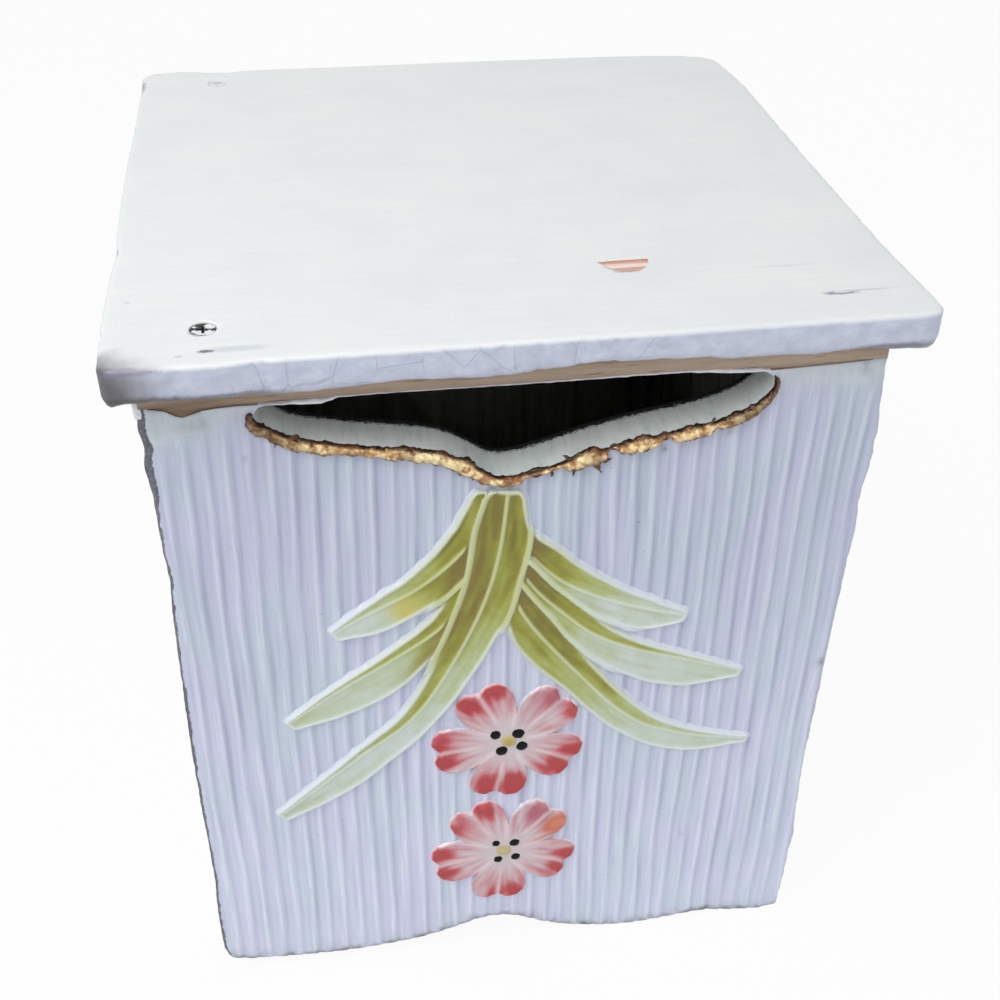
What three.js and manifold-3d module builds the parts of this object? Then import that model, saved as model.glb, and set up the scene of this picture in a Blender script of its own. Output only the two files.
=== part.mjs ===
// A square wooden storage box with a screwed-down lid board and a bracket-shaped slot in its combed front.
// Millimetres, +Z up, the front faces -Y. The origin is under the middle of the lid, at the feet's height.
import * as THREE from 'three';
import { mergeVertices } from 'three/addons/utils/BufferGeometryUtils.js';
import Module from 'manifold-3d';

const wasm = await Module();
wasm.setup();

// Case, made of boards of one thickness
const case_width = 220.5;
const case_depth = 220.5;
const case_height = 261.4;
const wall = 15.5;

// Lid board, which stands out all round the case
const lid_thickness = 11;
const lid_arris = 1.4;
const lid_overhang_front = 10.1;
const lid_overhang_back = 10.9;
const lid_overhang_left = 9;
const lid_overhang_right = 10.5;
const lid_corner_front_left = 4;
const lid_corner_front_right = 7;
const lid_corner_back_right = 11;
const lid_corner_back_left = 6;

// Combed ribs
const rib_pitch = 5.92;
const rib_depth = 1.3;
const rib_waver = 0.5;
const plain_band_height = 9.6;
const plain_band_sink = 0.25;

// Lower edge of the front
const foot_relief = 14.6;
const foot_corner = 6;

// Slot in the top edge of the front
const slot_low_x = -6;
const slot_left_reach = 74.4;
const slot_right_reach = 81;
const slot_rise = 32;

// Bare rail over the slot, with the filler bead at its foot
const rail_height = 8;
const rail_setback = 1.5;
const sealing_bead_height = 1.9;
const sealing_bead_bulge = 0.45;

// Gilded bead on the lip of the slot
const gilt_width = 6.4;
const gilt_rise = 2.6;

// Bottom board
const bottom_thickness = 9.5;
const bottom_lift = 16;

// Lid screws, number 6 countersunk
const screw_head_radius = 3.6;
const screw_head_height = 2.7;
const screw_shank_radius = 1.75;
const screw_length = 32;
const screw_point = 5;
const screw_sink = 0.3;
const screw_recess_length = 4.2;
const screw_recess_width = 0.9;
const screw_recess_depth = 1.3;

// Wire nails
const nail_head_radius = 2;
const nail_head_height = 1;
const nail_shank_radius = 0.9;
const nail_length = 38;
const nail_point = 3;
const nail_sink = 1.8;
const nail_side_inset = 6;
const nail_top_margin = 3;
const nail_foot_margin = 26;

// Relief ornament
const relief_height = 2.1;
const relief_dip = 1.1;
const leaf_edge = 1.7;
const spray_offset = 1.2;
const spray_top_gap = 4.6;
const spray_foot_gap = 10.2;
const flower_eye_radius = 6.6;
const flower_button_radius = 3.2;
const flower_button_height = 1.5;
const petals = 5;

// Gaps between pieces that are cut for each other, and how far a cutter runs past what it cuts
const clearance = 0.3;
const overrun = 1;

// Faces and steps per shape
const screw_sides = 12;
const nail_sides = 8;
const petal_faces = 12;
const lower_leaf_steps = 19;
const other_leaf_steps = 13;
const sealing_steps = 30;
const gilt_steps = 90;

// Sizes and places that follow from the sizes above
const lid_width = lid_overhang_left + case_width + lid_overhang_right;
const lid_depth = lid_overhang_front + case_depth + lid_overhang_back;
const case_left = lid_overhang_left - lid_width / 2;
const case_right = case_left + case_width;
const case_front = lid_overhang_front - lid_depth / 2;
const case_back = case_front + case_depth;
const lid_top = case_height + lid_thickness;
const rail_front = case_front + rail_setback;
const rail_foot = case_height - rail_height;
const slot_low_z = rail_foot - slot_rise;
const slot_left = slot_low_x - slot_left_reach;
const slot_right = slot_low_x + slot_right_reach;
const comb_bed = case_front + rib_depth;
const spray_x = slot_low_x + spray_offset;
const spray_top = slot_low_z - spray_top_gap;
const spray_height = spray_top - foot_relief - spray_foot_gap;

// Outlines and places, as shares of the sizes named beside them
// Lid screws: shares of case_width from the left, and of the wall from the outside
const screw_place_shares = {
  front_left: [0.09, 0.65],
  front_right: [0.931, 0.66],
  back_left: [0.097, 0.36],
  back_right: [0.939, 0.54],
};
// A rib: shares of its pitch, of the depth of the groove beside it, and of the waver that it takes
const rib_shares = [[0.2, 0.25, 0.5], [0.5, 0, 1], [0.8, 0.25, 0.5]];
const shallow_groove_share = 0.25;
// Lower edge of the front, left to right: shares of case_width and foot_relief
const foot_shares = [
  [0.04, 0.42], [0.11, 0.34], [0.2, 0.3], [0.28, 0.37], [0.34, 0.48], [0.395, 0.71], [0.44, 0.96], [0.477, 1],
  [0.51, 0.88], [0.553, 0.53], [0.6, 0.27], [0.665, 0.08], [0.72, 0.02], [0.787, 0.1], [0.847, 0.19],
  [0.9, 0.08], [0.955, 0],
];
// Lip of the slot from its left end to its right end: shares of the reach on that side and of slot_rise
const lip_shares = [
  [-0.895, 1], [-0.97, 0.93], [-0.985, 0.82], [-0.92, 0.712], [-0.84, 0.596], [-0.726, 0.53], [-0.565, 0.455],
  [-0.371, 0.382], [-0.242, 0.3], [-0.145, 0.165], [-0.056, 0.026], [0.015, 0], [0.09, 0.03], [0.163, 0.078],
  [0.252, 0.15], [0.37, 0.232], [0.519, 0.318], [0.696, 0.396], [0.815, 0.472], [0.904, 0.565], [0.965, 0.68],
  [1, 0.83], [0.97, 0.93], [0.9, 1],
];
// Filler bead: shares of rail_setback forwards, of its bulge and of its height, and how far the height strays
const sealing_shares = [[0, 0, 0], [1, 0, 0], [1, 1, 0.33], [1, 0, 0.8], [0, 0, 1]];
const sealing_stray_share = 0.3;
// Gilded bead: the stretch of the lip that carries it, how far it hangs over the lip where it is widest, its
// section as shares of its width and rise, and its width along the slot as shares of the slot's width and of
// gilt_width
const gilt_span_shares = [0.045, 0.945];
const gilt_overhang_share = 0.3;
const gilt_section_shares = [[0, 0], [0.05, 0.55], [0.3, 0.95], [0.7, 0.95], [0.95, 0.5], [1, 0]];
const gilt_width_shares = [
  [0, 0.6], [0.07, 0.85], [0.13, 0.75], [0.21, 0.7], [0.3, 0.7], [0.38, 0.73], [0.44, 0.6], [0.48, 0.5],
  [0.54, 0.35], [0.585, 0.39], [0.61, 0.73], [0.635, 1], [0.655, 0.95], [0.68, 0.5], [0.692, 0.36],
  [0.71, 0.73], [0.735, 0.95], [0.757, 0.88], [0.78, 0.42], [0.795, 0.46], [0.81, 0.7], [0.84, 0.82],
  [0.873, 0.65], [0.888, 0.61], [0.91, 0.79], [0.94, 0.82], [0.965, 0.64], [1, 0.33],
];
// Flowers: places across and down from the spray's top, and their radius, as shares of spray_height
const flower_place_shares = { upper_flower: [0.006, 0.559], lower_flower: [0.001, 0.853] };
const flower_radius_share = 0.147;
// Turns of the flowers in degrees
const flower_turns = { upper_flower: 43.6, lower_flower: 48.2 };
// Outline of half a petal: shares of its half angle and of the flower's radius
const petal_shares = [[0, 0.9], [0.22, 0.99], [0.45, 0.97], [0.67, 0.87], [0.83, 0.71], [1, 0.5]];
// Rim of a petal: shares of leaf_edge inwards and of relief_height
const rim_shares = [[0, 0], [0.33, 0.8], [1, 1]];
// Button in the eye of a flower: shares of its radius and height
const button_shares = [[0, 0], [1, 0], [0.8, 0.7], [0, 1]];
// Leaves: breadth as a share of spray_height, and the most of a half blade that its raised edge takes
const leaf_breadth_share = 0.075;
const leaf_edge_limit_share = 0.4;
// Each leaf's midrib across and down from the spray's top, as shares of spray_height, and its widths above
// and below the midrib, as shares of the breadth
const leaf_shares = {
  left_leaf_lower: {
    midrib: [[-0.009, 0.003], [-0.012, 0.122], [-0.044, 0.234], [-0.1, 0.365], [-0.169, 0.478],
      [-0.263, 0.559], [-0.425, 0.697]],
    above: [0.4, 0.48, 0.43, 0.34, 0.22, 0.14],
    below: [0.33, 0.62, 0.66, 0.6, 0.72, 0.3],
  },
  left_leaf_upper: {
    midrib: [[-0.039, 0], [-0.05, 0.072], [-0.072, 0.109], [-0.112, 0.153], [-0.162, 0.192], [-0.225, 0.225],
      [-0.306, 0.272]],
    above: [0.2, 0.4, 0.46, 0.4, 0.28, 0.14],
    below: [0.1, 0.16, 0.4, 0.64, 0.66, 0.28],
  },
  left_leaf_middle: {
    midrib: [[-0.061, 0.141], [-0.078, 0.203], [-0.097, 0.25], [-0.131, 0.288], [-0.212, 0.344], [-0.3, 0.4],
      [-0.394, 0.469]],
    above: [0.12, 0.24, 0.3, 0.24, 0.18, 0.12],
    below: [0.1, 0.16, 0.6, 0.9, 0.76, 0.3],
  },
  right_leaf_upper: {
    midrib: [[0.029, 0.099], [0.056, 0.15], [0.088, 0.188], [0.162, 0.24], [0.237, 0.272], [0.322, 0.3]],
    above: [0.3, 0.56, 0.6, 0.5, 0.34, 0.16],
    below: [0.1, 0.12, 0.28, 0.54, 0.64, 0.22],
  },
  right_leaf_middle: {
    midrib: [[0.026, 0.165], [0.05, 0.213], [0.088, 0.259], [0.15, 0.319], [0.225, 0.362], [0.325, 0.4],
      [0.437, 0.442]],
    above: [0.25, 0.42, 0.36, 0.24, 0.17, 0.1],
    below: [0.1, 0.2, 0.5, 0.88, 0.86, 0.24],
  },
  right_leaf_lower: {
    midrib: [[0.012, 0.19], [0.014, 0.234], [0.05, 0.303], [0.125, 0.406], [0.2, 0.5], [0.269, 0.557],
      [0.363, 0.594], [0.469, 0.616]],
    above: [0.2, 0.38, 0.42, 0.42, 0.25, 0.12],
    below: [0.12, 0.66, 0.58, 0.56, 0.6, 0.18],
  },
};

// How fast hand-made unevenness comes and goes: radians per rib, and radians over a bead's length
const rib_waver_rate = 2.4;
const groove_rate = 1.7;
const sealing_rates = [17, 41];

// A value between the entries of a table of [place, value]
function between(table, place) {
  const next = table.findIndex(([start]) => start >= place);
  if (next === 0) return table[0][1];
  if (next < 0) return table[table.length - 1][1];
  const [low, before] = table[next - 1];
  const [high, after] = table[next];
  return THREE.MathUtils.mapLinear(place, low, high, before, after);
}

// Closed solid from a geometry: shared corners are merged, flat slivers dropped and the faces turned outwards
function solidOf(source) {
  const bare = source.clone();
  bare.deleteAttribute('normal');
  bare.deleteAttribute('uv');
  const merged = mergeVertices(bare);
  const place = merged.attributes.position;
  const corners = [];
  let volume = 0;
  const a = new THREE.Vector3();
  const b = new THREE.Vector3();
  const c = new THREE.Vector3();
  for (let i = 0; i < merged.index.count; i += 3) {
    const [p, q, r] = [merged.index.getX(i), merged.index.getX(i + 1), merged.index.getX(i + 2)];
    if (p === q || q === r || r === p) continue;
    corners.push([p, q, r]);
    a.fromBufferAttribute(place, p);
    b.fromBufferAttribute(place, q);
    c.fromBufferAttribute(place, r);
    volume += a.dot(b.cross(c));
  }
  const ordered = volume < 0 ? corners.map(([p, q, r]) => [p, r, q]) : corners;
  const mesh = new wasm.Mesh({
    numProp: 3,
    vertProperties: Float32Array.from(place.array),
    triVerts: Uint32Array.from(ordered.flat()),
  });
  return new wasm.Manifold(mesh);
}

// Rings of equally many points, joined one to the next and closed at both ends
function loft(rings) {
  const sides = rings[0].length;
  const places = rings.flat().flatMap((point) => [point.x, point.y, point.z]);
  const faces = [];
  for (let ring = 0; ring + 1 < rings.length; ring += 1) {
    for (let side = 0; side < sides; side += 1) {
      const next = (side + 1) % sides;
      const near = ring * sides;
      const far = near + sides;
      faces.push(near + side, near + next, far + next, near + side, far + next, far + side);
    }
  }
  for (const [ring, points] of [[0, rings[0]], [rings.length - 1, rings[rings.length - 1]]]) {
    const flat = flattened(points);
    for (const face of THREE.ShapeUtils.triangulateShape(flat, [])) {
      const order = ring === 0 ? [...face].reverse() : face;
      faces.push(...order.map((corner) => ring * sides + corner));
    }
  }
  const geometry = new THREE.BufferGeometry();
  geometry.setAttribute('position', new THREE.Float32BufferAttribute(places, 3));
  geometry.setIndex(faces);
  return solidOf(geometry);
}

// An end ring seen square on, as flat points in the order of the ring
function flattened(points) {
  const across = new THREE.Vector3().subVectors(points[1], points[0]).normalize();
  const normal = new THREE.Vector3();
  for (let i = 1; i + 1 < points.length; i += 1) {
    const first = new THREE.Vector3().subVectors(points[i], points[0]);
    const second = new THREE.Vector3().subVectors(points[i + 1], points[0]);
    normal.add(first.cross(second));
  }
  const up = new THREE.Vector3().crossVectors(normal.normalize(), across);
  return points.map((point) => new THREE.Vector2(point.dot(across), point.dot(up)));
}

// A plan outline raised from z_low to z_high
function upright(shape, z_low, z_high) {
  const geometry = new THREE.ExtrudeGeometry(shape, { depth: z_high - z_low, bevelEnabled: false });
  return solidOf(geometry.translate(0, 0, z_low));
}

// A front outline, drawn in X and Z, run back from y_front to y_back
function throughFront(shape, y_front, y_back) {
  const geometry = new THREE.ExtrudeGeometry(shape, { depth: y_back - y_front, bevelEnabled: false });
  return solidOf(geometry.rotateX(Math.PI / 2).translate(0, y_back, 0));
}

function rectangle(x_low, x_high, y_low, y_high) {
  return new THREE.Shape([
    new THREE.Vector2(x_low, y_low), new THREE.Vector2(x_high, y_low),
    new THREE.Vector2(x_high, y_high), new THREE.Vector2(x_low, y_high),
  ]);
}

function block(x_low, x_high, y_low, y_high, z_low, z_high) {
  return upright(rectangle(x_low, x_high, y_low, y_high), z_low, z_high);
}

function turned(profile, sides) {
  const points = profile.map(([radius, height]) => new THREE.Vector2(radius, height));
  return new THREE.LatheGeometry(points, sides).rotateX(Math.PI / 2);
}

const object = new THREE.Group();

function add(name, solid, material) {
  const made = solid.getMesh();
  const geometry = new THREE.BufferGeometry();
  geometry.setAttribute('position', new THREE.Float32BufferAttribute(made.vertProperties, 3));
  geometry.setIndex(Array.from(made.triVerts));
  geometry.computeVertexNormals();
  const mesh = new THREE.Mesh(geometry, material);
  mesh.name = name;
  object.add(mesh);
}

// Finishes
const lid_paint = new THREE.MeshStandardMaterial({ color: 0xe7e8e7, roughness: 0.5, metalness: 0 });
const comb_paint = new THREE.MeshStandardMaterial({ color: 0xc8cbe0, roughness: 0.35, metalness: 0 });
const bare_wood = new THREE.MeshStandardMaterial({ color: 0x9c8468, roughness: 0.8, metalness: 0 });
const filler = new THREE.MeshStandardMaterial({ color: 0xeceef0, roughness: 0.6, metalness: 0 });
const gilding = new THREE.MeshStandardMaterial({ color: 0xc89650, roughness: 0.35, metalness: 0.8 });
const leaf_green = new THREE.MeshStandardMaterial({ color: 0xa8b070, roughness: 0.3, metalness: 0 });
const petal_pink = new THREE.MeshStandardMaterial({ color: 0xd08a88, roughness: 0.3, metalness: 0 });
const button_yellow = new THREE.MeshStandardMaterial({ color: 0xc8b450, roughness: 0.3, metalness: 0 });
const screw_steel = new THREE.MeshStandardMaterial({ color: 0x54565a, roughness: 0.5, metalness: 0.8 });
const nail_steel = new THREE.MeshStandardMaterial({ color: 0x6a6a6c, roughness: 0.6, metalness: 0.7 });

// Lid screws: where they stand, their form, and the hole that each one leaves
function screwForm(grow) {
  const head_top = grow ? lid_top + overrun : lid_top - screw_sink;
  const seat = lid_top - screw_sink;
  const neck = seat - screw_head_height;
  const foot = seat - screw_length;
  return turned([
    [0, foot - grow], [screw_shank_radius + grow, foot + screw_point],
    [screw_shank_radius + grow, neck - grow], [screw_head_radius + grow, seat],
    [screw_head_radius + grow, head_top], [0, head_top],
  ], screw_sides);
}

const screw_places = Object.entries(screw_place_shares).map(([corner, [across, into]]) => {
  const y = corner.startsWith('front') ? case_front + into * wall : case_back - into * wall;
  return [corner, case_left + across * case_width, y];
});

function screwRecess() {
  const reach = screw_recess_length / 2;
  const half = screw_recess_width / 2;
  const low = lid_top - screw_sink - screw_recess_depth;
  const high = lid_top + overrun;
  return block(-reach, reach, -half, half, low, high).add(block(-half, half, -reach, reach, low, high));
}

const screw_holes = screw_places.map(([, x, y]) => solidOf(screwForm(clearance)).translate(x, y, 0));

function drilled(solid, holes) {
  return holes.reduce((left, hole) => left.subtract(hole), solid);
}

// Nails: head set below the outside, shank running inwards along the given direction
function nailForm(grow) {
  const head_top = grow ? overrun : -nail_sink;
  const head_foot = -nail_sink - nail_head_height - grow;
  const tip = -nail_sink - nail_length;
  return turned([
    [0, tip - grow], [nail_shank_radius + grow, tip + nail_point], [nail_shank_radius + grow, head_foot],
    [nail_head_radius + grow, head_foot], [nail_head_radius + grow, head_top], [0, head_top],
  ], nail_sides);
}

const nail_turns = {
  front: (form) => form.rotateX(Math.PI / 2),
  back: (form) => form.rotateX(-Math.PI / 2),
  left: (form) => form.rotateY(-Math.PI / 2),
  right: (form) => form.rotateY(Math.PI / 2),
};

function nailAt(side, grow, x, y, z) {
  return solidOf(nail_turns[side](nailForm(grow)).translate(x, y, z));
}

const nail_heights = {
  top: rail_foot - nail_top_margin,
  middle: (rail_foot - nail_top_margin + nail_foot_margin) / 2,
  foot: nail_foot_margin,
};
const bottom_nail_z = bottom_lift + bottom_thickness / 2;
const bottom_nail_reach = case_depth / 4;
const nail_places = [];
for (const [level, z] of Object.entries(nail_heights)) {
  for (const [end, y] of [['front', case_front], ['back', case_back]]) {
    nail_places.push([`${end}_nail_left_${level}`, end, case_left + nail_side_inset, y, z]);
    nail_places.push([`${end}_nail_right_${level}`, end, case_right - nail_side_inset, y, z]);
  }
}
for (const [order, way] of [['1', -1], ['2', 1]]) {
  const middle_y = (case_front + case_back) / 2 + way * bottom_nail_reach;
  nail_places.push([`bottom_nail_left_${order}`, 'left', case_left, middle_y, bottom_nail_z]);
  nail_places.push([`bottom_nail_right_${order}`, 'right', case_right, middle_y, bottom_nail_z]);
  const middle_x = (case_left + case_right) / 2 + way * bottom_nail_reach;
  nail_places.push([`bottom_nail_back_${order}`, 'back', middle_x, case_back, bottom_nail_z]);
}
const nail_holes = nail_places.map(([, side, x, y, z]) => nailAt(side, clearance, x, y, z));

// Combed face: depth below the crests, from one end of a board to the other
function combLine(length) {
  const ribs = Math.max(1, Math.round(length / rib_pitch));
  const pitch = length / ribs;
  const line = [[0, rib_depth]];
  for (let rib = 0; rib < ribs; rib += 1) {
    const waver = rib_waver * Math.sin(rib * rib_waver_rate);
    const groove = rib_depth * (1 - shallow_groove_share * Math.sin(rib * groove_rate) ** 2);
    for (const [across, down, stray] of rib_shares) {
      line.push([(rib + across) * pitch + stray * waver, down * groove]);
    }
    if (rib + 1 < ribs) line.push([(rib + 1) * pitch, groove]);
  }
  line.push([length, rib_depth]);
  return line;
}

// Lid board: corners rounded each by its own radius, arrises eased all round
const lid_outline = new THREE.Shape();
const half_lid_x = lid_width / 2;
const half_lid_y = lid_depth / 2;
const quarter = Math.PI / 2;
for (const [x_side, y_side, radius, start] of [
  [-1, -1, lid_corner_front_left, 2 * quarter], [1, -1, lid_corner_front_right, 3 * quarter],
  [1, 1, lid_corner_back_right, 0], [-1, 1, lid_corner_back_left, quarter],
]) {
  const x = x_side * (half_lid_x - radius);
  const y = y_side * (half_lid_y - radius);
  lid_outline.absarc(x, y, radius, start, start + quarter, false);
}
const lid_form = new THREE.ExtrudeGeometry(lid_outline, {
  depth: lid_thickness - 2 * lid_arris,
  bevelThickness: lid_arris,
  bevelSize: lid_arris,
  bevelOffset: -lid_arris,
  bevelSegments: 3,
  curveSegments: 5,
}).translate(0, 0, case_height + lid_arris);
add('lid_board', drilled(solidOf(lid_form), screw_holes), lid_paint);

for (const [corner, x, y] of screw_places) {
  const screw = solidOf(screwForm(0)).subtract(screwRecess());
  add(`lid_screw_${corner}`, screw.translate(x, y, 0), screw_steel);
}

// Front wall: combed board, cut to the lobed foot and the bracket-shaped slot
const lip_points = lip_shares.map(([across, rise]) => new THREE.Vector2(
  slot_low_x + across * (across < 0 ? slot_left_reach : slot_right_reach),
  slot_low_z + rise * slot_rise,
));
const foot_points = foot_shares.map(([across, rise]) => new THREE.Vector2(
  case_left + across * case_width,
  rise * foot_relief,
));

function frontOutline() {
  const foot_left = foot_points[0];
  const foot_right = foot_points[foot_points.length - 1];
  const outline = new THREE.Shape();
  outline.moveTo(case_left, foot_left.y + foot_corner);
  outline.lineTo(case_left, rail_foot);
  outline.lineTo(lip_points[0].x, rail_foot);
  outline.splineThru(lip_points.slice(1));
  outline.lineTo(case_right, rail_foot);
  outline.lineTo(case_right, foot_right.y + foot_corner);
  outline.quadraticCurveTo(case_right, foot_right.y, foot_right.x, foot_right.y);
  outline.splineThru(foot_points.slice(0, -1).reverse());
  outline.quadraticCurveTo(case_left, foot_left.y, case_left, foot_left.y + foot_corner);
  return new THREE.Shape(outline.getPoints(2));
}

const front_plan = new THREE.Shape([
  new THREE.Vector2(case_right, case_front + wall),
  new THREE.Vector2(case_left, case_front + wall),
  ...combLine(case_width).map(([along, depth]) => new THREE.Vector2(case_left + along, case_front + depth)),
]);
const plain_band = block(case_left, lip_points[0].x, case_front + plain_band_sink, comb_bed + overrun,
  rail_foot - plain_band_height, rail_foot);
const front_board = upright(front_plan, 0, rail_foot).add(plain_band);
const front_cut = throughFront(frontOutline(), case_front - overrun, case_front + wall + overrun);
add('front_wall', drilled(front_board.intersect(front_cut), [...screw_holes, ...nail_holes]), comb_paint);

// Rail over the slot, of bare wood
const rail = block(case_left, case_right, rail_front, case_front + wall, rail_foot, case_height);
add('front_rail', drilled(rail, screw_holes), bare_wood);

// Filler bead in the step between the rail and the top of the front wall
const sealing_rings = [];
for (let step = 0; step <= sealing_steps; step += 1) {
  const share = step / sealing_steps;
  const [slow, fast] = sealing_rates.map((rate) => Math.sin(share * rate));
  const height = sealing_bead_height * (1 + sealing_stray_share * slow * fast);
  sealing_rings.push(sealing_shares.map(([out, bulge, high]) => new THREE.Vector3(
    case_left + share * case_width,
    rail_front - out * rail_setback - bulge * sealing_bead_bulge,
    rail_foot + high * height,
  )));
}
add('sealing_bead', loft(sealing_rings), filler);

// Gilded bead: a lumpy half-round laid on the crests just below the lip
const lip_curve = new THREE.SplineCurve(lip_points);
const gilt_rings = [];
for (let step = 0; step <= gilt_steps; step += 1) {
  const share = THREE.MathUtils.lerp(...gilt_span_shares, step / gilt_steps);
  const place = lip_curve.getPointAt(share);
  const along = lip_curve.getTangentAt(share);
  const fullness = between(gilt_width_shares, (place.x - slot_left) / (slot_right - slot_left));
  const width = gilt_width * fullness;
  const rise = gilt_rise * Math.sqrt(fullness);
  gilt_rings.push(gilt_section_shares.map(([across, high]) => {
    const out = (across - gilt_overhang_share * fullness ** 3) * width;
    return new THREE.Vector3(place.x + along.y * out, case_front - high * rise, place.y - along.x * out);
  }));
}
add('gilt_bead', loft(gilt_rings), gilding);

// Side walls, combed outside, between the front and back walls
const side_length = case_depth - 2 * wall;
const side_front = case_front + wall;
const side_back = side_front + side_length;
const side_line = combLine(side_length);
const left_plan = new THREE.Shape([
  new THREE.Vector2(case_left + wall, side_back), new THREE.Vector2(case_left + wall, side_front),
  ...side_line.map(([along, depth]) => new THREE.Vector2(case_left + depth, side_front + along)),
]);
const right_plan = new THREE.Shape([
  new THREE.Vector2(case_right - wall, side_front), new THREE.Vector2(case_right - wall, side_back),
  ...side_line.map(([along, depth]) => new THREE.Vector2(case_right - depth, side_back - along)),
]);
add('left_wall', drilled(upright(left_plan, 0, case_height), nail_holes), comb_paint);
add('right_wall', drilled(upright(right_plan, 0, case_height), nail_holes), comb_paint);

// Back wall, plain
const back_board = block(case_left, case_right, case_back - wall, case_back, 0, case_height);
add('back_wall', drilled(back_board, [...screw_holes, ...nail_holes]), comb_paint);

// Bottom board, let in between the walls
const bottom_board = block(case_left + wall + clearance, case_right - wall - clearance,
  case_front + wall + clearance, case_back - wall - clearance, bottom_lift, bottom_lift + bottom_thickness);
add('bottom_board', drilled(bottom_board, nail_holes), bare_wood);

for (const [name, side, x, y, z] of nail_places) {
  add(name, nailAt(side, 0, x, y, z), nail_steel);
}

// Flowers: rings that follow the petals, from the back up over the raised rim and down to the eye
const flower_radius = flower_radius_share * spray_height;

function petalReach(angle) {
  const half_angle = Math.PI / petals;
  const turn = THREE.MathUtils.euclideanModulo(angle + half_angle, 2 * half_angle) - half_angle;
  return flower_radius * between(petal_shares, Math.abs(turn) / half_angle);
}

function flower(x, z, turn, grow) {
  const sides = petals * petal_faces;
  const ring = (reach, high) => Array.from({ length: sides }, (_, side) => {
    const angle = (side / sides) * 2 * Math.PI;
    const radius = reach(petalReach(angle));
    const heading = angle + THREE.MathUtils.degToRad(turn);
    const across = radius * Math.cos(heading);
    return new THREE.Vector3(x + across, case_front - high, z + radius * Math.sin(heading));
  });
  if (grow) {
    const wider = (reach) => reach + grow;
    return loft([ring(wider, -overrun), ring(wider, relief_height + overrun)]);
  }
  const rim = rim_shares.map(([inwards, high]) =>
    ring((reach) => reach - inwards * leaf_edge, high * relief_height));
  return loft([
    ...rim,
    ring((reach) => reach - 2 * leaf_edge, relief_dip),
    ring(() => flower_eye_radius, relief_dip),
    ring(() => flower_eye_radius / 2, relief_dip),
  ]);
}

const flower_places = Object.entries(flower_place_shares).map(([name, [across, down]]) =>
  [name, spray_x + across * spray_height, spray_top - down * spray_height]);
for (const [name, x, z] of flower_places) {
  add(name, flower(x, z, flower_turns[name], 0), petal_pink);
  const button = turned(button_shares.map(([out, high]) =>
    [out * flower_button_radius, relief_dip + high * flower_button_height]), screw_sides);
  add(`${name}_centre`, solidOf(button.rotateX(Math.PI / 2).translate(x, case_front, z)), button_yellow);
}
const flower_room = flower_places.map(([name, x, z]) => flower(x, z, flower_turns[name], clearance));

// Leaves: a section with raised edges and midrib, carried along the midrib
const leaf_breadth = leaf_breadth_share * spray_height;

function widthAt(shares, share) {
  const outline = new THREE.SplineCurve(shares.map((width, place) => new THREE.Vector2(place, width)));
  return leaf_breadth * outline.getPoint(share).y;
}

function leaf(name, grow) {
  const form = leaf_shares[name];
  const midrib = new THREE.SplineCurve(form.midrib.map(([across, down]) => new THREE.Vector2(
    spray_x + across * spray_height,
    spray_top - down * spray_height,
  )));
  const steps = name.endsWith('lower') ? lower_leaf_steps : other_leaf_steps;
  const side = name.startsWith('left') ? -1 : 1;
  const rings = [];
  for (let step = 0; step <= steps; step += 1) {
    const share = step / steps;
    const place = midrib.getPointAt(share);
    const along = midrib.getTangentAt(share);
    const up = new THREE.Vector2(-along.y, along.x).multiplyScalar(side);
    const above = widthAt(form.above, share) + grow;
    const below = widthAt(form.below, share) + grow;
    const edge_above = Math.min(leaf_edge, above * leaf_edge_limit_share);
    const edge_below = Math.min(leaf_edge, below * leaf_edge_limit_share);
    const high = relief_height;
    const section = grow ? [
      [above, -overrun], [above, high + overrun], [-below, high + overrun], [-below, -overrun],
    ] : [
      [above, 0], [above - edge_above / 2, high], [above - edge_above, relief_dip],
      [edge_above / 2, relief_dip], [0, high], [-edge_below / 2, relief_dip],
      [edge_below - below, relief_dip], [edge_below / 2 - below, high], [-below, 0],
    ];
    rings.push(section.map(([off, rise]) =>
      new THREE.Vector3(place.x + up.x * off, case_front - rise, place.y + up.y * off)));
  }
  return loft(rings);
}

const leaf_names = Object.keys(leaf_shares);
leaf_names.forEach((name, order) => {
  const room = leaf_names.slice(0, order).map((other) => leaf(other, clearance));
  add(name, drilled(leaf(name, 0), [...flower_room, ...room]), leaf_green);
});

export default object;
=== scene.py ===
# A square wooden storage box for papers and keepsakes: a case of combed and painted boards, a gilded slot in
# its front, relief leaves and flowers below the slot, and a white board screwed down on top as the lid.
# Sizes are in millimetres and become metres when a piece is finished. The front faces -Y.
import math

import bmesh
import bpy
from mathutils import Matrix, Vector, kdtree, noise


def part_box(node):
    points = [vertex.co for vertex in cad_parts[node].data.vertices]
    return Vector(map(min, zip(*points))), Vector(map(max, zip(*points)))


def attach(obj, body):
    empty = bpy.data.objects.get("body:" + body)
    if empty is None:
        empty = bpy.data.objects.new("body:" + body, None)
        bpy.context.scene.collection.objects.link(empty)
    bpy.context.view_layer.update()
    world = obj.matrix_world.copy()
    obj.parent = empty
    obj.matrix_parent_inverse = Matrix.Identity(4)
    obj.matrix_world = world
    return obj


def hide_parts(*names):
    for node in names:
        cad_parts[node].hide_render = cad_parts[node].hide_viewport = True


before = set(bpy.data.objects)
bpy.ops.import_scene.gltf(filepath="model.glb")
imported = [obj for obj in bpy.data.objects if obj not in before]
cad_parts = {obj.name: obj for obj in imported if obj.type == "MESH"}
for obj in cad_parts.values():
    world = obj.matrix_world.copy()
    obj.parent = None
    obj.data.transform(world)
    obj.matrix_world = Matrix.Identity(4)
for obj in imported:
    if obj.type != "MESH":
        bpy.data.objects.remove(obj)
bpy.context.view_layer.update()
bpy.context.scene.view_settings.view_transform = "Standard"


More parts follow.
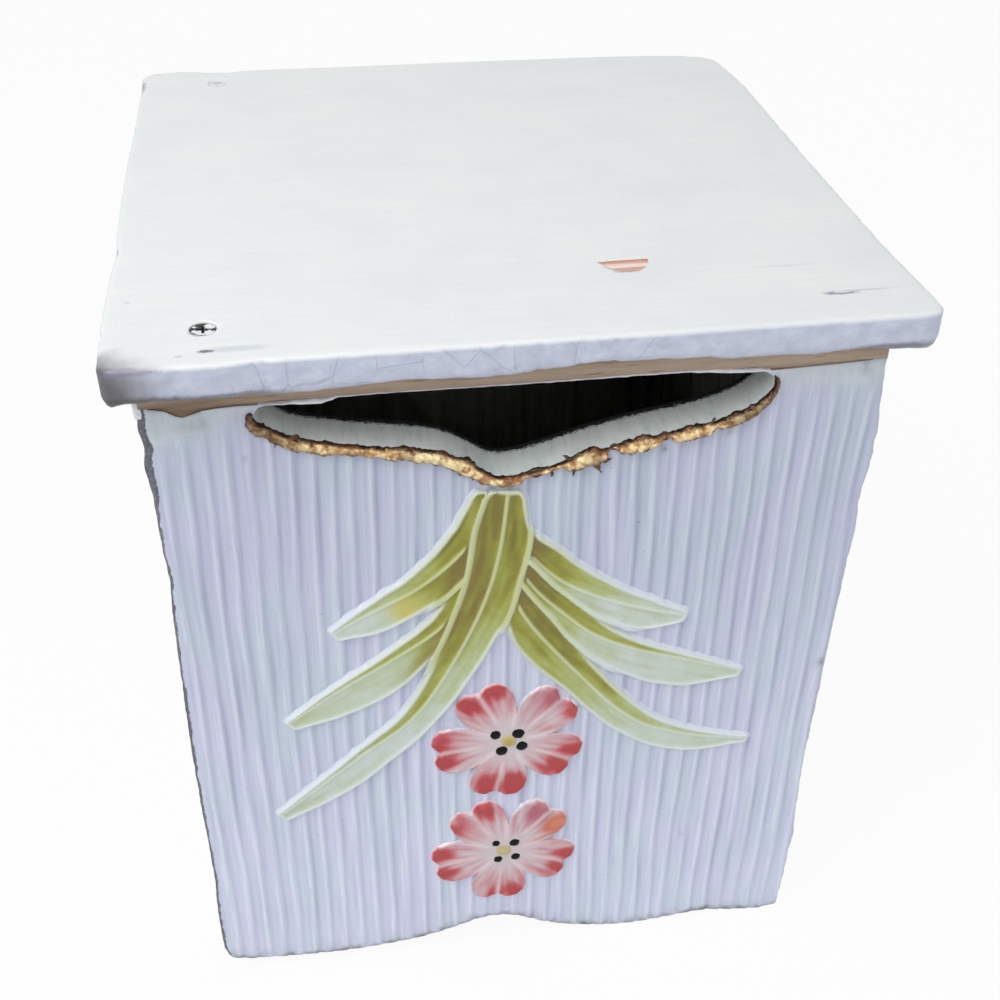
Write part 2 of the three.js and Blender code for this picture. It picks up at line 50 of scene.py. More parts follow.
# Bottom board: a dry pine board let in between the four walls and nailed through them. It is bare wood, dusty
# brown, and it is seen only through the slot, through the notch in the foot and from below.
MM = 0.001
BROKEN_ARRIS = 0.6
RING_WIDTH, PORE_WIDTH, DUST_WIDTH = 4.5, 0.5, 30


def tone(red, green, blue):
    """A colour as it looks on a screen, 0 to 255, as the linear colour that a shader takes."""
    shares = [channel / 255 for channel in (red, green, blue)]
    return tuple(s / 12.92 if s < 0.04045 else ((s + 0.055) / 1.055) ** 2.4 for s in shares) + (1,)


class Finish:
    """One finish: a material whose nodes are put in one by one. Patterns are measured in millimetres."""

    def __init__(self, name, **plain):
        self.material = bpy.data.materials.new(name)
        self.material.use_nodes = True
        self.tree = self.material.node_tree
        self.shader = self.tree.nodes["Principled BSDF"]
        for socket, value in plain.items():
            self.shader.inputs[socket.replace("_", " ")].default_value = value

    def fill(self, socket, value):
        if isinstance(value, bpy.types.NodeSocket):
            self.tree.links.new(value, socket)
        else:
            socket.default_value = value

    def put(self, kind, wanted, given, **settings):
        new = self.tree.nodes.new("ShaderNode" + kind)
        for key, value in settings.items():
            setattr(new, key, value)
        for socket, value in given.items():
            self.fill(new.inputs[socket], value)
        return new.outputs[wanted]

    def spot(self, stretch=(1, 1, 1)):
        """Place on the piece in millimetres, each axis shortened by its stretch."""
        where = self.put("TexCoord", "Object", {})
        return self.put("Mapping", "Vector", {"Vector": where, "Scale": tuple(1 / MM / part for part in stretch)})

    def clouds(self, size, stretch=(1, 1, 1), detail=3, rough=0.5):
        given = {"Vector": self.spot(stretch), "Scale": 1 / size, "Detail": detail, "Roughness": rough}
        return self.put("TexNoise", "Fac", given)

    def crackle(self, size, stretch=(1, 1, 1)):
        given = {"Vector": self.spot(stretch), "Scale": 1 / size}
        return self.put("TexVoronoi", "Distance", given, feature="DISTANCE_TO_EDGE")

    def place_on(self, axis):
        return self.put("SeparateXYZ", axis, {"Vector": self.spot()})

    def carried(self, name):
        return self.put("Attribute", "Fac", {}, attribute_name=name)

    def calc(self, operation, first, second):
        return self.put("Math", "Value", {0: first, 1: second}, operation=operation)

    def times(self, first, second):
        return self.calc("MULTIPLY", first, second)

    def plus(self, value, pattern, share, middle=0.0):
        """The value plus a share of a pattern, the pattern counted from its middle."""
        off = self.calc("SUBTRACT", pattern, middle) if middle else pattern
        return self.calc("ADD", value, self.times(off, share))

    def step(self, value, low, high):
        """0 where the value is at low, 1 where it is at high, and eased in between."""
        given = {"Value": value, "From Min": low, "From Max": high}
        return self.put("MapRange", "Result", given, interpolation_type="SMOOTHSTEP")

    def step_on(self, axis, low, high):
        return self.step(self.place_on(axis), low, high)

    def blend(self, share, first, second, kind="MIX"):
        given = {0: share, 6: first, 7: second}
        return self.put("Mix", 2, given, data_type="RGBA", blend_type=kind)

    def laid(self, colour, paint, mask, strength):
        """The colour with a paint over it, as strongly as its mask times its strength."""
        return self.blend(self.times(mask, strength), colour, paint)

    def ramp(self, value, stops):
        colours = self.tree.nodes.new("ShaderNodeValToRGB")
        band = colours.color_ramp
        while len(band.elements) < len(stops):
            band.elements.new(0.5)
        for element, (place, colour) in zip(band.elements, stops):
            element.position = place
            element.color = colour
        self.fill(colours.inputs["Fac"], value)
        return colours.outputs["Color"]

    def mark(self, centre, reach, soft=0.35, ragged=0.5):
        """A blot round a centre, reaching so far along each axis; an axis with no reach is left out."""
        shares = tuple(1 / part if part else 0 for part in reach)
        off = self.put("VectorMath", "Vector", {0: self.spot(), 1: centre}, operation="SUBTRACT")
        off = self.put("VectorMath", "Vector", {0: off, 1: shares}, operation="MULTIPLY")
        far = self.put("VectorMath", "Value", {0: off}, operation="LENGTH")
        far = self.plus(far, self.clouds(min(part for part in reach if part), detail=2), ragged)
        rim = 1 + ragged / 2
        return self.step(far, rim + soft, rim - soft)

    def blotted(self, colour, blots):
        """The colour with blots laid over it: each is its paint and strength, then what mark() takes."""
        for paint, strength, *where in blots:
            colour = self.laid(colour, paint, self.mark(*where), strength)
        return colour

    def done(self, colour, roughness, height, depth):
        """Colour, roughness and the height pattern, whose full range stands so many millimetres high."""
        self.fill(self.shader.inputs["Base Color"], colour)
        self.fill(self.shader.inputs["Roughness"], roughness)
        given = {"Height": height, "Distance": depth * MM, "Strength": 1.0}
        self.fill(self.shader.inputs["Normal"], self.put("Bump", "Normal", given))
        return self.material


def wood(name, stretch, light, middle, dark):
    """Bare wood: growth rings drawn out along the board, fine pores and dusty blotches."""
    plank = Finish(name)
    rings = plank.clouds(RING_WIDTH, stretch, detail=4, rough=0.6)
    pores = plank.clouds(PORE_WIDTH, stretch, detail=2)
    dust = plank.step(plank.clouds(DUST_WIDTH), 0.4, 0.7)
    colour = plank.ramp(rings, [(0.3, dark), (0.48, middle), (0.7, light)])
    colour = plank.blend(plank.step(pores, 0.62, 0.74), colour, dark)
    colour = plank.laid(colour, light, dust, 0.3)
    return plank.done(colour, plank.plus(0.72, rings, 0.15), plank.plus(rings, pores, 0.4), 0.25)


def made_object(bm, name, materials):
    """A bmesh in millimetres as an object, in metres."""
    bmesh.ops.scale(bm, vec=(MM, MM, MM), verts=bm.verts)
    mesh = bpy.data.meshes.new(name)
    bm.to_mesh(mesh)
    bm.free()
    for material in materials:
        mesh.materials.append(material)
    made = bpy.data.objects.new(name, mesh)
    bpy.context.scene.collection.objects.link(made)
    return made


def finish_piece(bm, name, materials, replaced=(), smooth=True):
    """A bmesh in millimetres becomes a piece of the box, in the place of the nodes that it replaces."""
    piece = made_object(bm, name, materials)
    piece.data.polygons.foreach_set("use_smooth", [smooth] * len(piece.data.polygons))
    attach(piece, "root")
    if replaced:
        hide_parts(*replaced)
    return piece


def cad_extent(node):
    """Lowest and highest corner of a node, in millimetres."""
    low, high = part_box(node)
    return low / MM, high / MM


pine = wood("dusty_pine", (1, 18, 1), tone(150, 126, 98), tone(124, 100, 74), tone(84, 66, 48))
low, high = cad_extent("bottom_board")
bm = bmesh.new()
bmesh.ops.create_cube(bm, size=1)
bmesh.ops.scale(bm, vec=high - low, verts=bm.verts)
bmesh.ops.translate(bm, vec=(low + high) / 2, verts=bm.verts)
bmesh.ops.bevel(bm, geom=bm.edges[:], offset=BROKEN_ARRIS, offset_type="OFFSET", segments=2, profile=0.5,
                affect="EDGES", material=-1)
finish_piece(bm, "bottom_board_sawn", [pine], ["bottom_board"], smooth=False)


# Side walls: boards between the front and back walls, their outer faces combed upright while the coat was wet
# and then painted in a pale lavender white gloss. The inner faces are bare and stained with age.
RIB_PITCH = 5.92
RIB_DEPTH = 0.64
RIB_CREST = 0.72
LONG_DRIFT, SHORT_DRIFT = 1.7, 0.6
SPLIT_PLACE, SPLIT_WIDTH = 0.45, 0.55
COLUMN_STEP, ROW_STEP = 0.5, 1.9
SIDE_DARK_TOP, SIDE_DARKENING = 9, 0.5
old_wood = wood("aged_inner_wood", (1, 1, 18), tone(200, 200, 190), tone(182, 182, 172), tone(146, 146, 136))


def comb_paint(name):
    """Glossy lavender white over combed ribs, streaked upright: a pale line on each crest, partly a thinner coat
    and partly a painted highlight, and greyer grooves as painted shade.
    Near an edge that is carried as chipped it has come off down to a grey ground."""
    coat = Finish(name, Coat_Weight=0.25, Coat_Roughness=0.3)
    streak = coat.clouds(1.1, (1, 1, 30), detail=4, rough=0.65)
    fine = coat.clouds(0.35, (1, 1, 40), detail=2)
    tint = coat.clouds(22, (1, 1, 2.6), rough=0.6)
    stray = coat.clouds(3.2, (1, 1, 1.6), detail=4, rough=0.7)
    # Painted light: pale on each crest, partly a painted highlight, and greyer in each groove as painted shade
    colour = coat.ramp(coat.plus(coat.carried("crest"), streak, 1.1, 0.52), [
        (0.0, tone(183, 187, 208)), (0.3, tone(197, 201, 221)), (0.7, tone(208, 212, 230)),
        (0.92, tone(214, 218, 234)), (1.0, tone(224, 228, 241)),
    ])
    # Painted shade: the coat is darkened gradually towards the top
    colour = coat.blend(coat.step_on("Z", 20, 255), colour, tone(232, 233, 234), "MULTIPLY")
    cool = coat.blend(coat.step(tint, 0.4, 0.62), tone(251, 247, 255), tone(241, 251, 248))
    colour = coat.blend(0.8, colour, cool, "MULTIPLY")
    smoothed = coat.step(coat.clouds(9, detail=4, rough=0.6), 0.3, 0.7)
    smoothed = coat.blend(smoothed, tone(188, 196, 200), tone(206, 211, 217))
    colour = coat.laid(colour, smoothed, coat.carried("plain"), 0.75)
    worn_reach = coat.plus(0.6, coat.step(stray, 0.34, 0.66), 0.7)
    worn_reach = coat.plus(worn_reach, coat.step_on("Z", 212, 234), 1.5)
    worn = coat.step(coat.calc("SUBTRACT", coat.carried("edge_gap"), worn_reach), 0.2, -0.2)
    chipped = coat.step(coat.plus(coat.carried("chipped"), stray, 0.25), 0.93, 0.99)
    ground = coat.ramp(coat.clouds(0.9), [
        (0.3, tone(66, 66, 74)), (0.55, tone(92, 92, 101)), (0.8, tone(122, 121, 128)),
    ])
    colour = coat.laid(colour, ground, worn, chipped)
    # Darkened where the carried share says: painted shade in a line along the front's foot, smudges on the front,
    # and darker towards the foot on the sides and back
    darkening = coat.step(coat.clouds(5, detail=4), 0.25, 0.75)
    colour = coat.laid(colour, tone(100, 98, 102), coat.carried("darkened"), darkening)
    specks = coat.step(coat.clouds(1.6, detail=1), 0.235, 0.2)
    colour = coat.laid(colour, tone(120, 120, 134), specks, 0.6)
    return coat.done(colour, coat.plus(0.3, tint, 0.25), coat.plus(streak, fine, 0.5), 0.2)


def waver(x, y, z):
    """A smooth stray value that belongs to a place, mostly between -0.6 and 0.6."""
    return noise.noise(Vector((x, y, z)))


def hump(off, width):
    """1 where off is nothing, falling away smoothly on both sides to almost nothing at twice the width."""
    return math.exp(-((off / width) ** 2))


def clamped(value, low=0, high=1):
    return min(max(value, low), high)


def smooth_step(low, high, value):
    """0 where the value is at low, 1 where it is at high, and eased in between."""
    share = clamped((value - low) / (high - low))
    return share * share * (3 - 2 * share)


def groove_share(along, up, seed):
    """How far into a groove a place on a combed face lies: 0 on a crest and about 1 in the bottom of a groove.
    A rib rises slowly from the groove on its left and drops steeply into the one on its right. A few have a
    fine line down them, where a tooth of the comb was split."""
    drift = LONG_DRIFT * waver(along / 55, up / 85, seed) + SHORT_DRIFT * waver(along / 13, up / 38, seed + 5)
    place = (along + drift) / RIB_PITCH
    rib = math.floor(place)
    across = place - rib
    crest = RIB_CREST + 0.12 * waver(rib * 1.3, up / 36, seed + 3)
    groove = rib if across < crest else rib + 1
    strength = 0.8 + 0.55 * waver(groove * 1.7, up / 40, seed + 9)
    split = max(0, 0.16 + 0.6 * waver(rib * 2.3, up / 34, seed + 20))
    split *= hump((across - SPLIT_PLACE) * RIB_PITCH, SPLIT_WIDTH)
    flank = (1 - across / crest) ** 2.2 if across < crest else smooth_step(crest, 1, across)
    return strength * flank + split


def corners_of(parts):
    return [part for part in parts if isinstance(part, bmesh.types.BMVert)]


def open_edges(parts):
    return [part for part in parts if isinstance(part, bmesh.types.BMEdge) and part.is_boundary]


def close_back(bm, thick, left, right):
    """Grows a board's sides back from the rim of its face, none past its left or right, and closes its back."""
    skirt = bmesh.ops.extrude_edge_only(bm, edges=open_edges(bm.edges))["geom"]
    for corner in corners_of(skirt):
        corner.co.y = thick
        corner.co.x = clamped(corner.co.x, left, right)
    bmesh.ops.contextual_create(bm, geom=open_edges(skirt))
    bmesh.ops.recalc_face_normals(bm, faces=bm.faces)


def combed_board(length, height, thick, relief, edges, column_step=COLUMN_STEP):
    """A board along X from 0, its face at Y = relief and its back at Y = thick, its ends at edges(up). The back
    takes the second finish."""
    bm = bmesh.new()
    columns, rows = round(length / column_step), round(height / ROW_STEP)
    bmesh.ops.create_grid(bm, x_segments=columns, y_segments=rows, size=0.5)
    for vert in bm.verts:
        share, up = vert.co.x + 0.5, (vert.co.y + 0.5) * height
        left, right = edges(up)
        along = left + share * (right - left)
        vert.co = (along, relief(along, up), up)
    close_back(bm, thick, 0, length)
    for face in bm.faces:
        face.material_index = 1 if face.normal.y > 0.9 else 0
    return bm


def carry(piece, name, value):
    """Gives the piece's corner points a value for its finish to read: a function of their place in millimetres,
    or a list that starts with the first point and may leave out the last ones."""
    points = piece.data.vertices
    values = [value(point.co / MM) for point in points] if callable(value) else value
    band = piece.data.attributes.new(name, "FLOAT", "POINT")
    band.data.foreach_set("value", values + [0.0] * (len(points) - len(values)))


side_paint = comb_paint("side_comb_paint")
for side, seed, turn in (("left", 40, -90), ("right", 70, 90)):
    low, high = cad_extent(side + "_wall")
    span = high.y - low.y

    def side_relief(along, up):
        return RIB_DEPTH * groove_share(along, up, seed)

    wall = combed_board(span, high.z, high.x - low.x, side_relief, lambda up: (0, span))
    corner = Vector((low.x, high.y, 0)) if side == "left" else Vector((high.x, low.y, 0))
    turned = Matrix.Translation(corner) @ Matrix.Rotation(math.radians(turn), 4, "Z")
    bmesh.ops.transform(wall, matrix=turned, verts=wall.verts)
    piece = finish_piece(wall, side + "_combed_board", [side_paint, old_wood], [side + "_wall"])
    outer, inward = (low.x, 1) if side == "left" else (high.x, -1)
    carry(piece, "crest", lambda at: max(0, 1 - (at.x - outer) * inward / RIB_DEPTH))
    # Darker towards the foot
    carry(piece, "darkened", lambda at: max(0, 1 - at.z / SIDE_DARK_TOP) * SIDE_DARKENING)


# Back wall: a plain board across both side walls, brushed with the same lavender white. The nails that hold it
# are punched in and stopped, and only faint dimples show where they are.
NAIL_DIMPLE, DIMPLE_DEPTH = 2.6, 0.25
BRUSH_WIDTH, BRUSH_LENGTH = 2.4, 60
BACK_COLUMN_STEP = 1.2
BACK_DARK_TOP, BACK_DARKENING = 12, 0.6
low, high = cad_extent("back_wall")
dimples = []
for node in ("back_nail_left_top", "back_nail_left_middle", "back_nail_left_foot", "back_nail_right_top",
             "back_nail_right_middle", "back_nail_right_foot", "bottom_nail_back_1", "bottom_nail_back_2"):
    nail_low, nail_high = cad_extent(node)
    middle = (nail_low + nail_high) / 2
    dimples.append((high.x - middle.x, middle.z))


def back_relief(along, up):
    sunk = sum(hump(math.hypot(along - x, up - z), NAIL_DIMPLE) for x, z in dimples)
    brushed = waver(along / BRUSH_WIDTH, up / BRUSH_LENGTH, 11)
    return 0.3 + DIMPLE_DEPTH * sunk + 0.1 * brushed + 0.2 * waver(along / 50, up / 50, 2)


width = high.x - low.x
back = combed_board(width, high.z, high.y - low.y, back_relief, lambda up: (0, width), BACK_COLUMN_STEP)
turned = Matrix.Translation((high.x, high.y, 0)) @ Matrix.Rotation(math.pi, 4, "Z")
bmesh.ops.transform(back, matrix=turned, verts=back.verts)
piece = finish_piece(back, "back_brushed_board", [side_paint, old_wood], ["back_wall"])
carry(piece, "crest", lambda at: 0.62 + 0.25 * waver(at.x / BRUSH_WIDTH, at.z / BRUSH_LENGTH, 11))
# Darker towards the foot
carry(piece, "darkened", lambda at: max(0, 1 - at.z / BACK_DARK_TOP) * BACK_DARKENING)


# Wire nails: punched in below the faces of the boards and stopped with paint, so none of them shows. Dull
# steel, a little rusty.
def dress(kind, material):
    """Gives the CAD's own meshes of one kind their finish."""
    for name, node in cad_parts.items():
        if kind in name:
            for place in range(len(node.data.materials)):
                node.data.materials[place] = material


rusty = Finish("nail_steel_finish", Metallic=0.8)
spread = rusty.clouds(1.4, detail=4)
colour = rusty.ramp(spread, [(0.35, tone(112, 112, 114)), (0.6, tone(96, 88, 82)), (0.75, tone(104, 72, 50))])
rusty.done(colour, rusty.plus(0.35, spread, 0.3), spread, 0.05)
dress("_nail_", rusty.material)


# Front wall: a combed board with a lobed foot, nailed over the ends of the side walls. Its top edge is cut down
# in the shape of a bracket for the slot, and the coat has broken away in a line down its left edge.
case_low, case_high = cad_extent("front_wall")
LEFT, RIGHT, FRONT = case_low.x, case_high.x, case_low.y
WALL_TOP = case_high.z
OVERSHOOT = 4
LEFT_STRAYS = [(0, 0.9), (7, 0.9), (15, -0.6), (34, -0.7), (54, 0), (72, -0.2), (90, -0.6), (120, -0.7),
               (156, -0.2), (174, 0.2), (192, 1.1), (204, 0.4), (222, 0.1), (234, -0.9), (240, 0), (246, -1),
               (253, -0.6)]
RIGHT_STRAYS = [(0, -1.9), (24, -0.8), (42, -0.3), (60, -1.2), (74, -1.7), (120, -1), (168, -0.2), (192, 0.7),
                (201, 0), (216, 1.4), (228, 1.5), (240, 0.7), (253, 0.1)]
# Height at which the comb was lifted off the face, lower beside the slot's ends than above them
COMB_ENDS = [(-108, 241.5), (-92, 245), (-84, 248.5), (-74, 252), (66, 252), (78, 247), (108, 244)]
COMB_RUN_OUT = 16
# Strips of the top edge where the coat has broken off, deepest in a notch near the left corner, in X and Z
BITES = (
    [(-108.8, 256), (-108.6, 253.2), (-104, 252.2), (-101, 250.3), (-99.1, 249.7), (-96.5, 250.6), (-93.5, 251.6),
     (-89, 252.1), (-84, 252.4), (-78, 252.3), (-72, 252), (-70, 256)],
    [(66, 256), (68, 252.2), (76, 252), (84, 252.3), (92, 252.5), (99, 252.8), (105, 253.2), (105.5, 256)],
)
BITE_DEPTH = 0.95
# Smudges and nicks in the face: place in X and Z, reach and strength
NICKS = [(-94.5, 247, 3.2, 0.35), (-99, 245.5, 2.6, 0.28), (-83.4, 233.7, 0.8, 0.9), (62.9, 230.9, 0.9, 0.9),
         (42.9, 226.9, 0.9, 0.8), (102.9, 252, 1.3, 0.9), (103.4, 249.4, 1.5, 0.8), (106.8, 132, 1.8, 0.9),
         (63.6, 50.4, 1.2, 0.8), (-23.9, 121.3, 0.9, 0.5)]


def between(table, place):
    """A value read off a table of places and values, eased from one entry to the next."""
    for (low_place, before), (high_place, after) in zip(table, table[1:]):
        if place <= high_place:
            return before + smooth_step(low_place, high_place, place) * (after - before)
    return table[-1][1]


def front_edges(up):
    """Where the front's two ends lie at a height, along X from its left; both are rough."""
    rough = 0.25 * waver(up / 3.5, 1, 4) + 0.12 * waver(up / 1.5, 6, 4)
    return between(LEFT_STRAYS, up) + rough, RIGHT - LEFT + between(RIGHT_STRAYS, up) - rough


def comb_end(x):
    return between(COMB_ENDS, x) + 1.1 * waver(x / 9, 0, 30)


def comb_fade(x, z):
    """How strongly the comb marked the face: less near the foot, and nothing in the band smoothed by hand."""
    share = clamped((comb_end(x) + 2 - z) / COMB_RUN_OUT)
    return share ** 0.7 * min(1, 0.6 + z / 75)


def plainness(x, z):
    """1 in the band along the top that was smoothed by hand, and 0 below it."""
    return clamped((z - comb_end(x)) / 2.5 + 0.5)


def front_groove(x, z):
    """The front's groove_share(): its ribs fan out a little towards the top."""
    fan = 1.1 * max(0, (z - 150) / 100) ** 2 * math.sin(x / 34)
    return groove_share(x - LEFT + fan, z, 10) * comb_fade(x, z)


def front_relief(along, up):
    """How far the front's face lies behind the plane of its crests."""
    x = LEFT + along
    left, right = front_edges(up)
    gap = min(along - left, (right - along) * 1.6)
    chip = max(0, 1.2 + waver(x / 2, up / 4, 14) - gap)
    ledge = 0.45 * hump(up - comb_end(x) + 0.4, 0.7) * (x < -74)
    swell = 0.25 * waver(x / 42, up / 42, 5)
    return RIB_DEPTH * front_groove(x, up) + 0.7 * chip + 0.15 * plainness(x, up) - ledge + swell + 0.12


def settle(piece):
    """Makes what the piece's modifiers show its own mesh."""
    bpy.context.view_layer.update()
    mesh = bpy.data.meshes.new_from_object(piece.evaluated_get(bpy.context.evaluated_depsgraph_get()))
    piece.modifiers.clear()
    piece.data = mesh


def cut(piece, tool, operation="DIFFERENCE"):
    """Cuts the tool out of the piece, or keeps what they share; the cut faces take the tool's finish."""
    step = piece.modifiers.new("cut", "BOOLEAN")
    step.object = tool
    step.operation = operation
    step.solver = "EXACT"
    step.material_mode = "TRANSFER"
    settle(piece)
    bpy.data.objects.remove(tool)


def tool_from(bm, material):
    """A closed bmesh in millimetres as a loose object for cut()."""
    bmesh.ops.recalc_face_normals(bm, faces=bm.faces)
    return made_object(bm, "tool", [material])


def prism(outline, near, far):
    """A prism through the front: its outline in X and Z, from Y = near to Y = far."""
    bm = bmesh.new()
    face = bm.faces.new([bm.verts.new((x, near, z)) for x, z in outline])
    pushed = bmesh.ops.extrude_face_region(bm, geom=[face], use_keep_orig=True)["geom"]
    bmesh.ops.translate(bm, vec=(0, far - near, 0), verts=corners_of(pushed))
    return bm


# The outline is the longest edge round the board's back, without the nail holes in it. Its sides and top are
# pushed out, so that the rough ends and the top of the combed board are kept whole.
bm = bmesh.new()
bm.from_mesh(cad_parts["front_wall"].data)
bmesh.ops.remove_doubles(bm, verts=bm.verts, dist=1e-6)
back_plane = case_high.y * MM
other = [face for face in bm.faces if abs(face.calc_center_median().y - back_plane) > 1e-5]
bmesh.ops.delete(bm, geom=other, context="FACES")
rim = {edge for edge in bm.edges if edge.is_boundary}
outlines = []
while rim:
    edge = rim.pop()
    start, at = edge.verts
    outline = [start, at]
    while at is not start:
        edge = next(near for near in at.link_edges if near in rim)
        rim.discard(edge)
        at = edge.other_vert(at)
        outline.append(at)
    outlines.append([(vert.co.x / MM, vert.co.z / MM) for vert in outline[:-1]])
bm.free()
outline = max(outlines, key=lambda ring: max(x for x, z in ring) - min(x for x, z in ring))
outline = [(x - OVERSHOOT if x < LEFT + 0.5 else x + OVERSHOOT if x > RIGHT - 0.5 else x,
            z + OVERSHOOT if z > WALL_TOP - 0.3 else z) for x, z in outline]

lip_paint = Finish("lip_paint", Coat_Weight=0.15, Coat_Roughness=0.4)
lip_streak = lip_paint.clouds(2.2, (1, 5, 1), detail=4, rough=0.65)
colour = lip_paint.ramp(lip_streak, [
    (0.25, tone(198, 208, 202)), (0.45, tone(224, 231, 229)), (0.7, tone(236, 240, 241)),
])
colour = lip_paint.laid(colour, tone(200, 210, 200), lip_paint.clouds(12), 0.4)
# Painted shade: the cut faces grow darker towards the back of the board, and near black in a ragged band at its
# back edge
slot_shade = lip_paint.plus(lip_paint.place_on("Y"), lip_streak, -5)
slot_shade = lip_paint.step(slot_shade, case_high.y - 6.5, case_high.y - 2)
colour = lip_paint.laid(colour, tone(96, 92, 80), slot_shade, 0.75)
ragged = lip_paint.plus(lip_paint.place_on("Y"), lip_paint.clouds(1.3, (1, 0.3, 1)), 6)
colour = lip_paint.blend(lip_paint.step(ragged, case_high.y + 0.3, case_high.y + 0.9), colour, tone(28, 30, 26))
# Painted shade: darker on the cut faces low down at the foot
colour = lip_paint.laid(colour, tone(104, 100, 98), lip_paint.step_on("Z", 40, 20), 0.8)
colour = lip_paint.blotted(colour, [
    (tone(60, 70, 60), 0.9, (x, 0, z), (reach, 0, reach), 0.2)
    for x, z, reach in ((-50.2, 228.5, 0.9), (-22.7, 226.4, 1), (-19.1, 225, 0.7))
])
lip_paint.done(colour, 0.5, lip_streak, 0.3)

front_paint = comb_paint("front_comb_paint")
tan_wood = wood("bare_tan_wood", (18, 1, 1), tone(186, 166, 146), tone(164, 142, 121), tone(126, 104, 84))
wall = combed_board(RIGHT - LEFT, WALL_TOP, case_high.y - FRONT, front_relief, front_edges)
bmesh.ops.translate(wall, vec=(LEFT, FRONT, 0), verts=wall.verts)
piece = finish_piece(wall, "front_combed_board", [front_paint, old_wood], ["front_wall"])
whole = prism(outline, FRONT - 2 * OVERSHOOT, case_high.y + 2 * OVERSHOOT)
cut(piece, tool_from(whole, lip_paint.material), "INTERSECT")
for bite in BITES:
    cut(piece, tool_from(prism(bite, FRONT - 3, FRONT + BITE_DEPTH), tan_wood))

foot_corners = sorted((x, z) for x, z in outline if z < 16)


def is_coat(at):
    return at.y < FRONT + RIB_DEPTH + 1.6


def front_shade_and_smudges(at):
    """Painted shade in a thin dark line along the foot, and smudges in two places at the top left and on a few
    nicks in the face.
    """
    above_foot = max(0, at.z - between(foot_corners, at.x))
    foot = 1.5 * hump(above_foot, 1.3) + 0.3 * hump(above_foot, 5)
    near = sum(strength * hump(math.hypot(at.x - x, at.z - z), reach) for x, z, reach, strength in NICKS)
    return min(1, foot + near)


carry(piece, "crest", lambda at: 1 - min(1, front_groove(at.x, at.z)) if is_coat(at) else 0.6)
carry(piece, "plain", lambda at: plainness(at.x, at.z) if is_coat(at) else 0.0)
carry(piece, "edge_gap", lambda at: min(at.x - LEFT - front_edges(at.z)[0], 4 + RIGHT - at.x))
carry(piece, "chipped", lambda at: 1.0 if at.x < 0 and at.y < FRONT + 6 else 0.0)
carry(piece, "darkened", front_shade_and_smudges)


# Rail over the slot: a bare batten that carries the lid's front edge and closes the slot above. It lies almost
# flush with the face under the lid's overhang, and shows as a tan strip.
RAIL_CELLS, RAIL_ROWS = 220, 10
RAIL_SET_BACK = 0.35
low, high = cad_extent("front_rail")
bm = bmesh.new()
bmesh.ops.create_grid(bm, x_segments=RAIL_CELLS, y_segments=RAIL_ROWS, size=0.5)
for vert in bm.verts:
    x = low.x + (vert.co.x + 0.5) * (high.x - low.x)
    z = low.z + (vert.co.y + 0.5) * (high.z - low.z)
    worn = 0.12 * waver(x / 9, z / 1.5, 4) + 0.08 * waver(x / 2, z, 7)
    vert.co = (x, FRONT + RAIL_SET_BACK + worn, z)
close_back(bm, high.y, low.x, high.x)
finish_piece(bm, "front_rail_batten", [tan_wood], ["front_rail"], smooth=False)


# Filler bead: white filler run along the foot of the rail with a fingertip. It is a thin line over most of the
# slot and hangs down in a soft lobe at each end of it; at the case's left corner a blob of it was left.
BEAD_HANG = [(-78, 252.2), (-74, 251.9), (-70, 251.6), (-64, 251.2), (-60, 251.1), (-57.5, 251.9), (-55, 253.1),
             (-40, 253.3), (0, 253.1), (46, 253.2), (53, 252.6), (60, 251.8), (68, 251.5), (73, 251.8)]
BEAD_TOP = [(-78, 252.5), (-70, 252.7), (-60, 253), (-54, 253.6), (-40, 253.7), (0, 253.6), (46, 253.9),
            (56, 253.7), (66, 253), (73, 252.6)]
BEAD_LEFT, BEAD_LENGTH = -78, 151
BLOB_CENTRE = Vector((LEFT + 0.2, FRONT + 2.4, 253))
BLOB_WIDE, BLOB_DEEP, BLOB_TALL = 1.9, 2, 5.4


def add_tube(bm, steps, sides, station):
    """Adds an open tube: station(along, turn) gives its place for shares of its length and of its girth."""
    made = bmesh.ops.create_grid(bm, x_segments=steps, y_segments=sides, size=0.5)["verts"]
    for vert in made:
        vert.co = station(vert.co.x + 0.5, vert.co.y + 0.5)
    bmesh.ops.remove_doubles(bm, verts=made, dist=0.002)


def close_tubes(bm):
    bmesh.ops.holes_fill(bm, edges=open_edges(bm.edges))
    bmesh.ops.recalc_face_normals(bm, faces=bm.faces)


def bead_station(along, turn):
    x = BEAD_LEFT + along * BEAD_LENGTH
    foot = between(BEAD_HANG, x) + 0.18 * waver(x / 2.5, 0, 50)
    top = max(between(BEAD_TOP, x) + 0.2 * waver(x / 3, 0, 51), foot + 0.3)
    angle = turn * 2 * math.pi
    out = 1.25 + 0.25 * waver(x / 5, 0, 52) if math.sin(angle) > 0 else 1.2
    up = (foot + top) / 2 + (top - foot) / 2 * math.cos(angle)
    return Vector((x, FRONT + 1.1 - out * math.sin(angle), up))


white_filler = Finish("white_filler", Coat_Weight=0.1, Coat_Roughness=0.4)
dabs = white_filler.clouds(2.2, (2, 1, 1), detail=4)
colour = white_filler.ramp(dabs, [
    (0.3, tone(206, 204, 204)), (0.5, tone(228, 228, 232)), (0.8, tone(240, 240, 244)),
])
white_filler.done(colour, 0.5, dabs, 0.25)
bm = bmesh.new()
add_tube(bm, 300, 16, bead_station)
close_tubes(bm)
finish_piece(bm, "filler_bead", [white_filler.material], ["sealing_bead"])

bm = bmesh.new()
bmesh.ops.create_icosphere(bm, subdivisions=5, radius=1)
for vert in bm.verts:
    lump = 1 + 0.22 * noise.noise(vert.co * 1.6) + 0.1 * noise.noise(vert.co * 4)
    vert.co = BLOB_CENTRE + lump * Vector((BLOB_WIDE * vert.co.x, BLOB_DEEP * vert.co.y, BLOB_TALL * vert.co.z))
finish_piece(bm, "corner_filler", [white_filler.material])


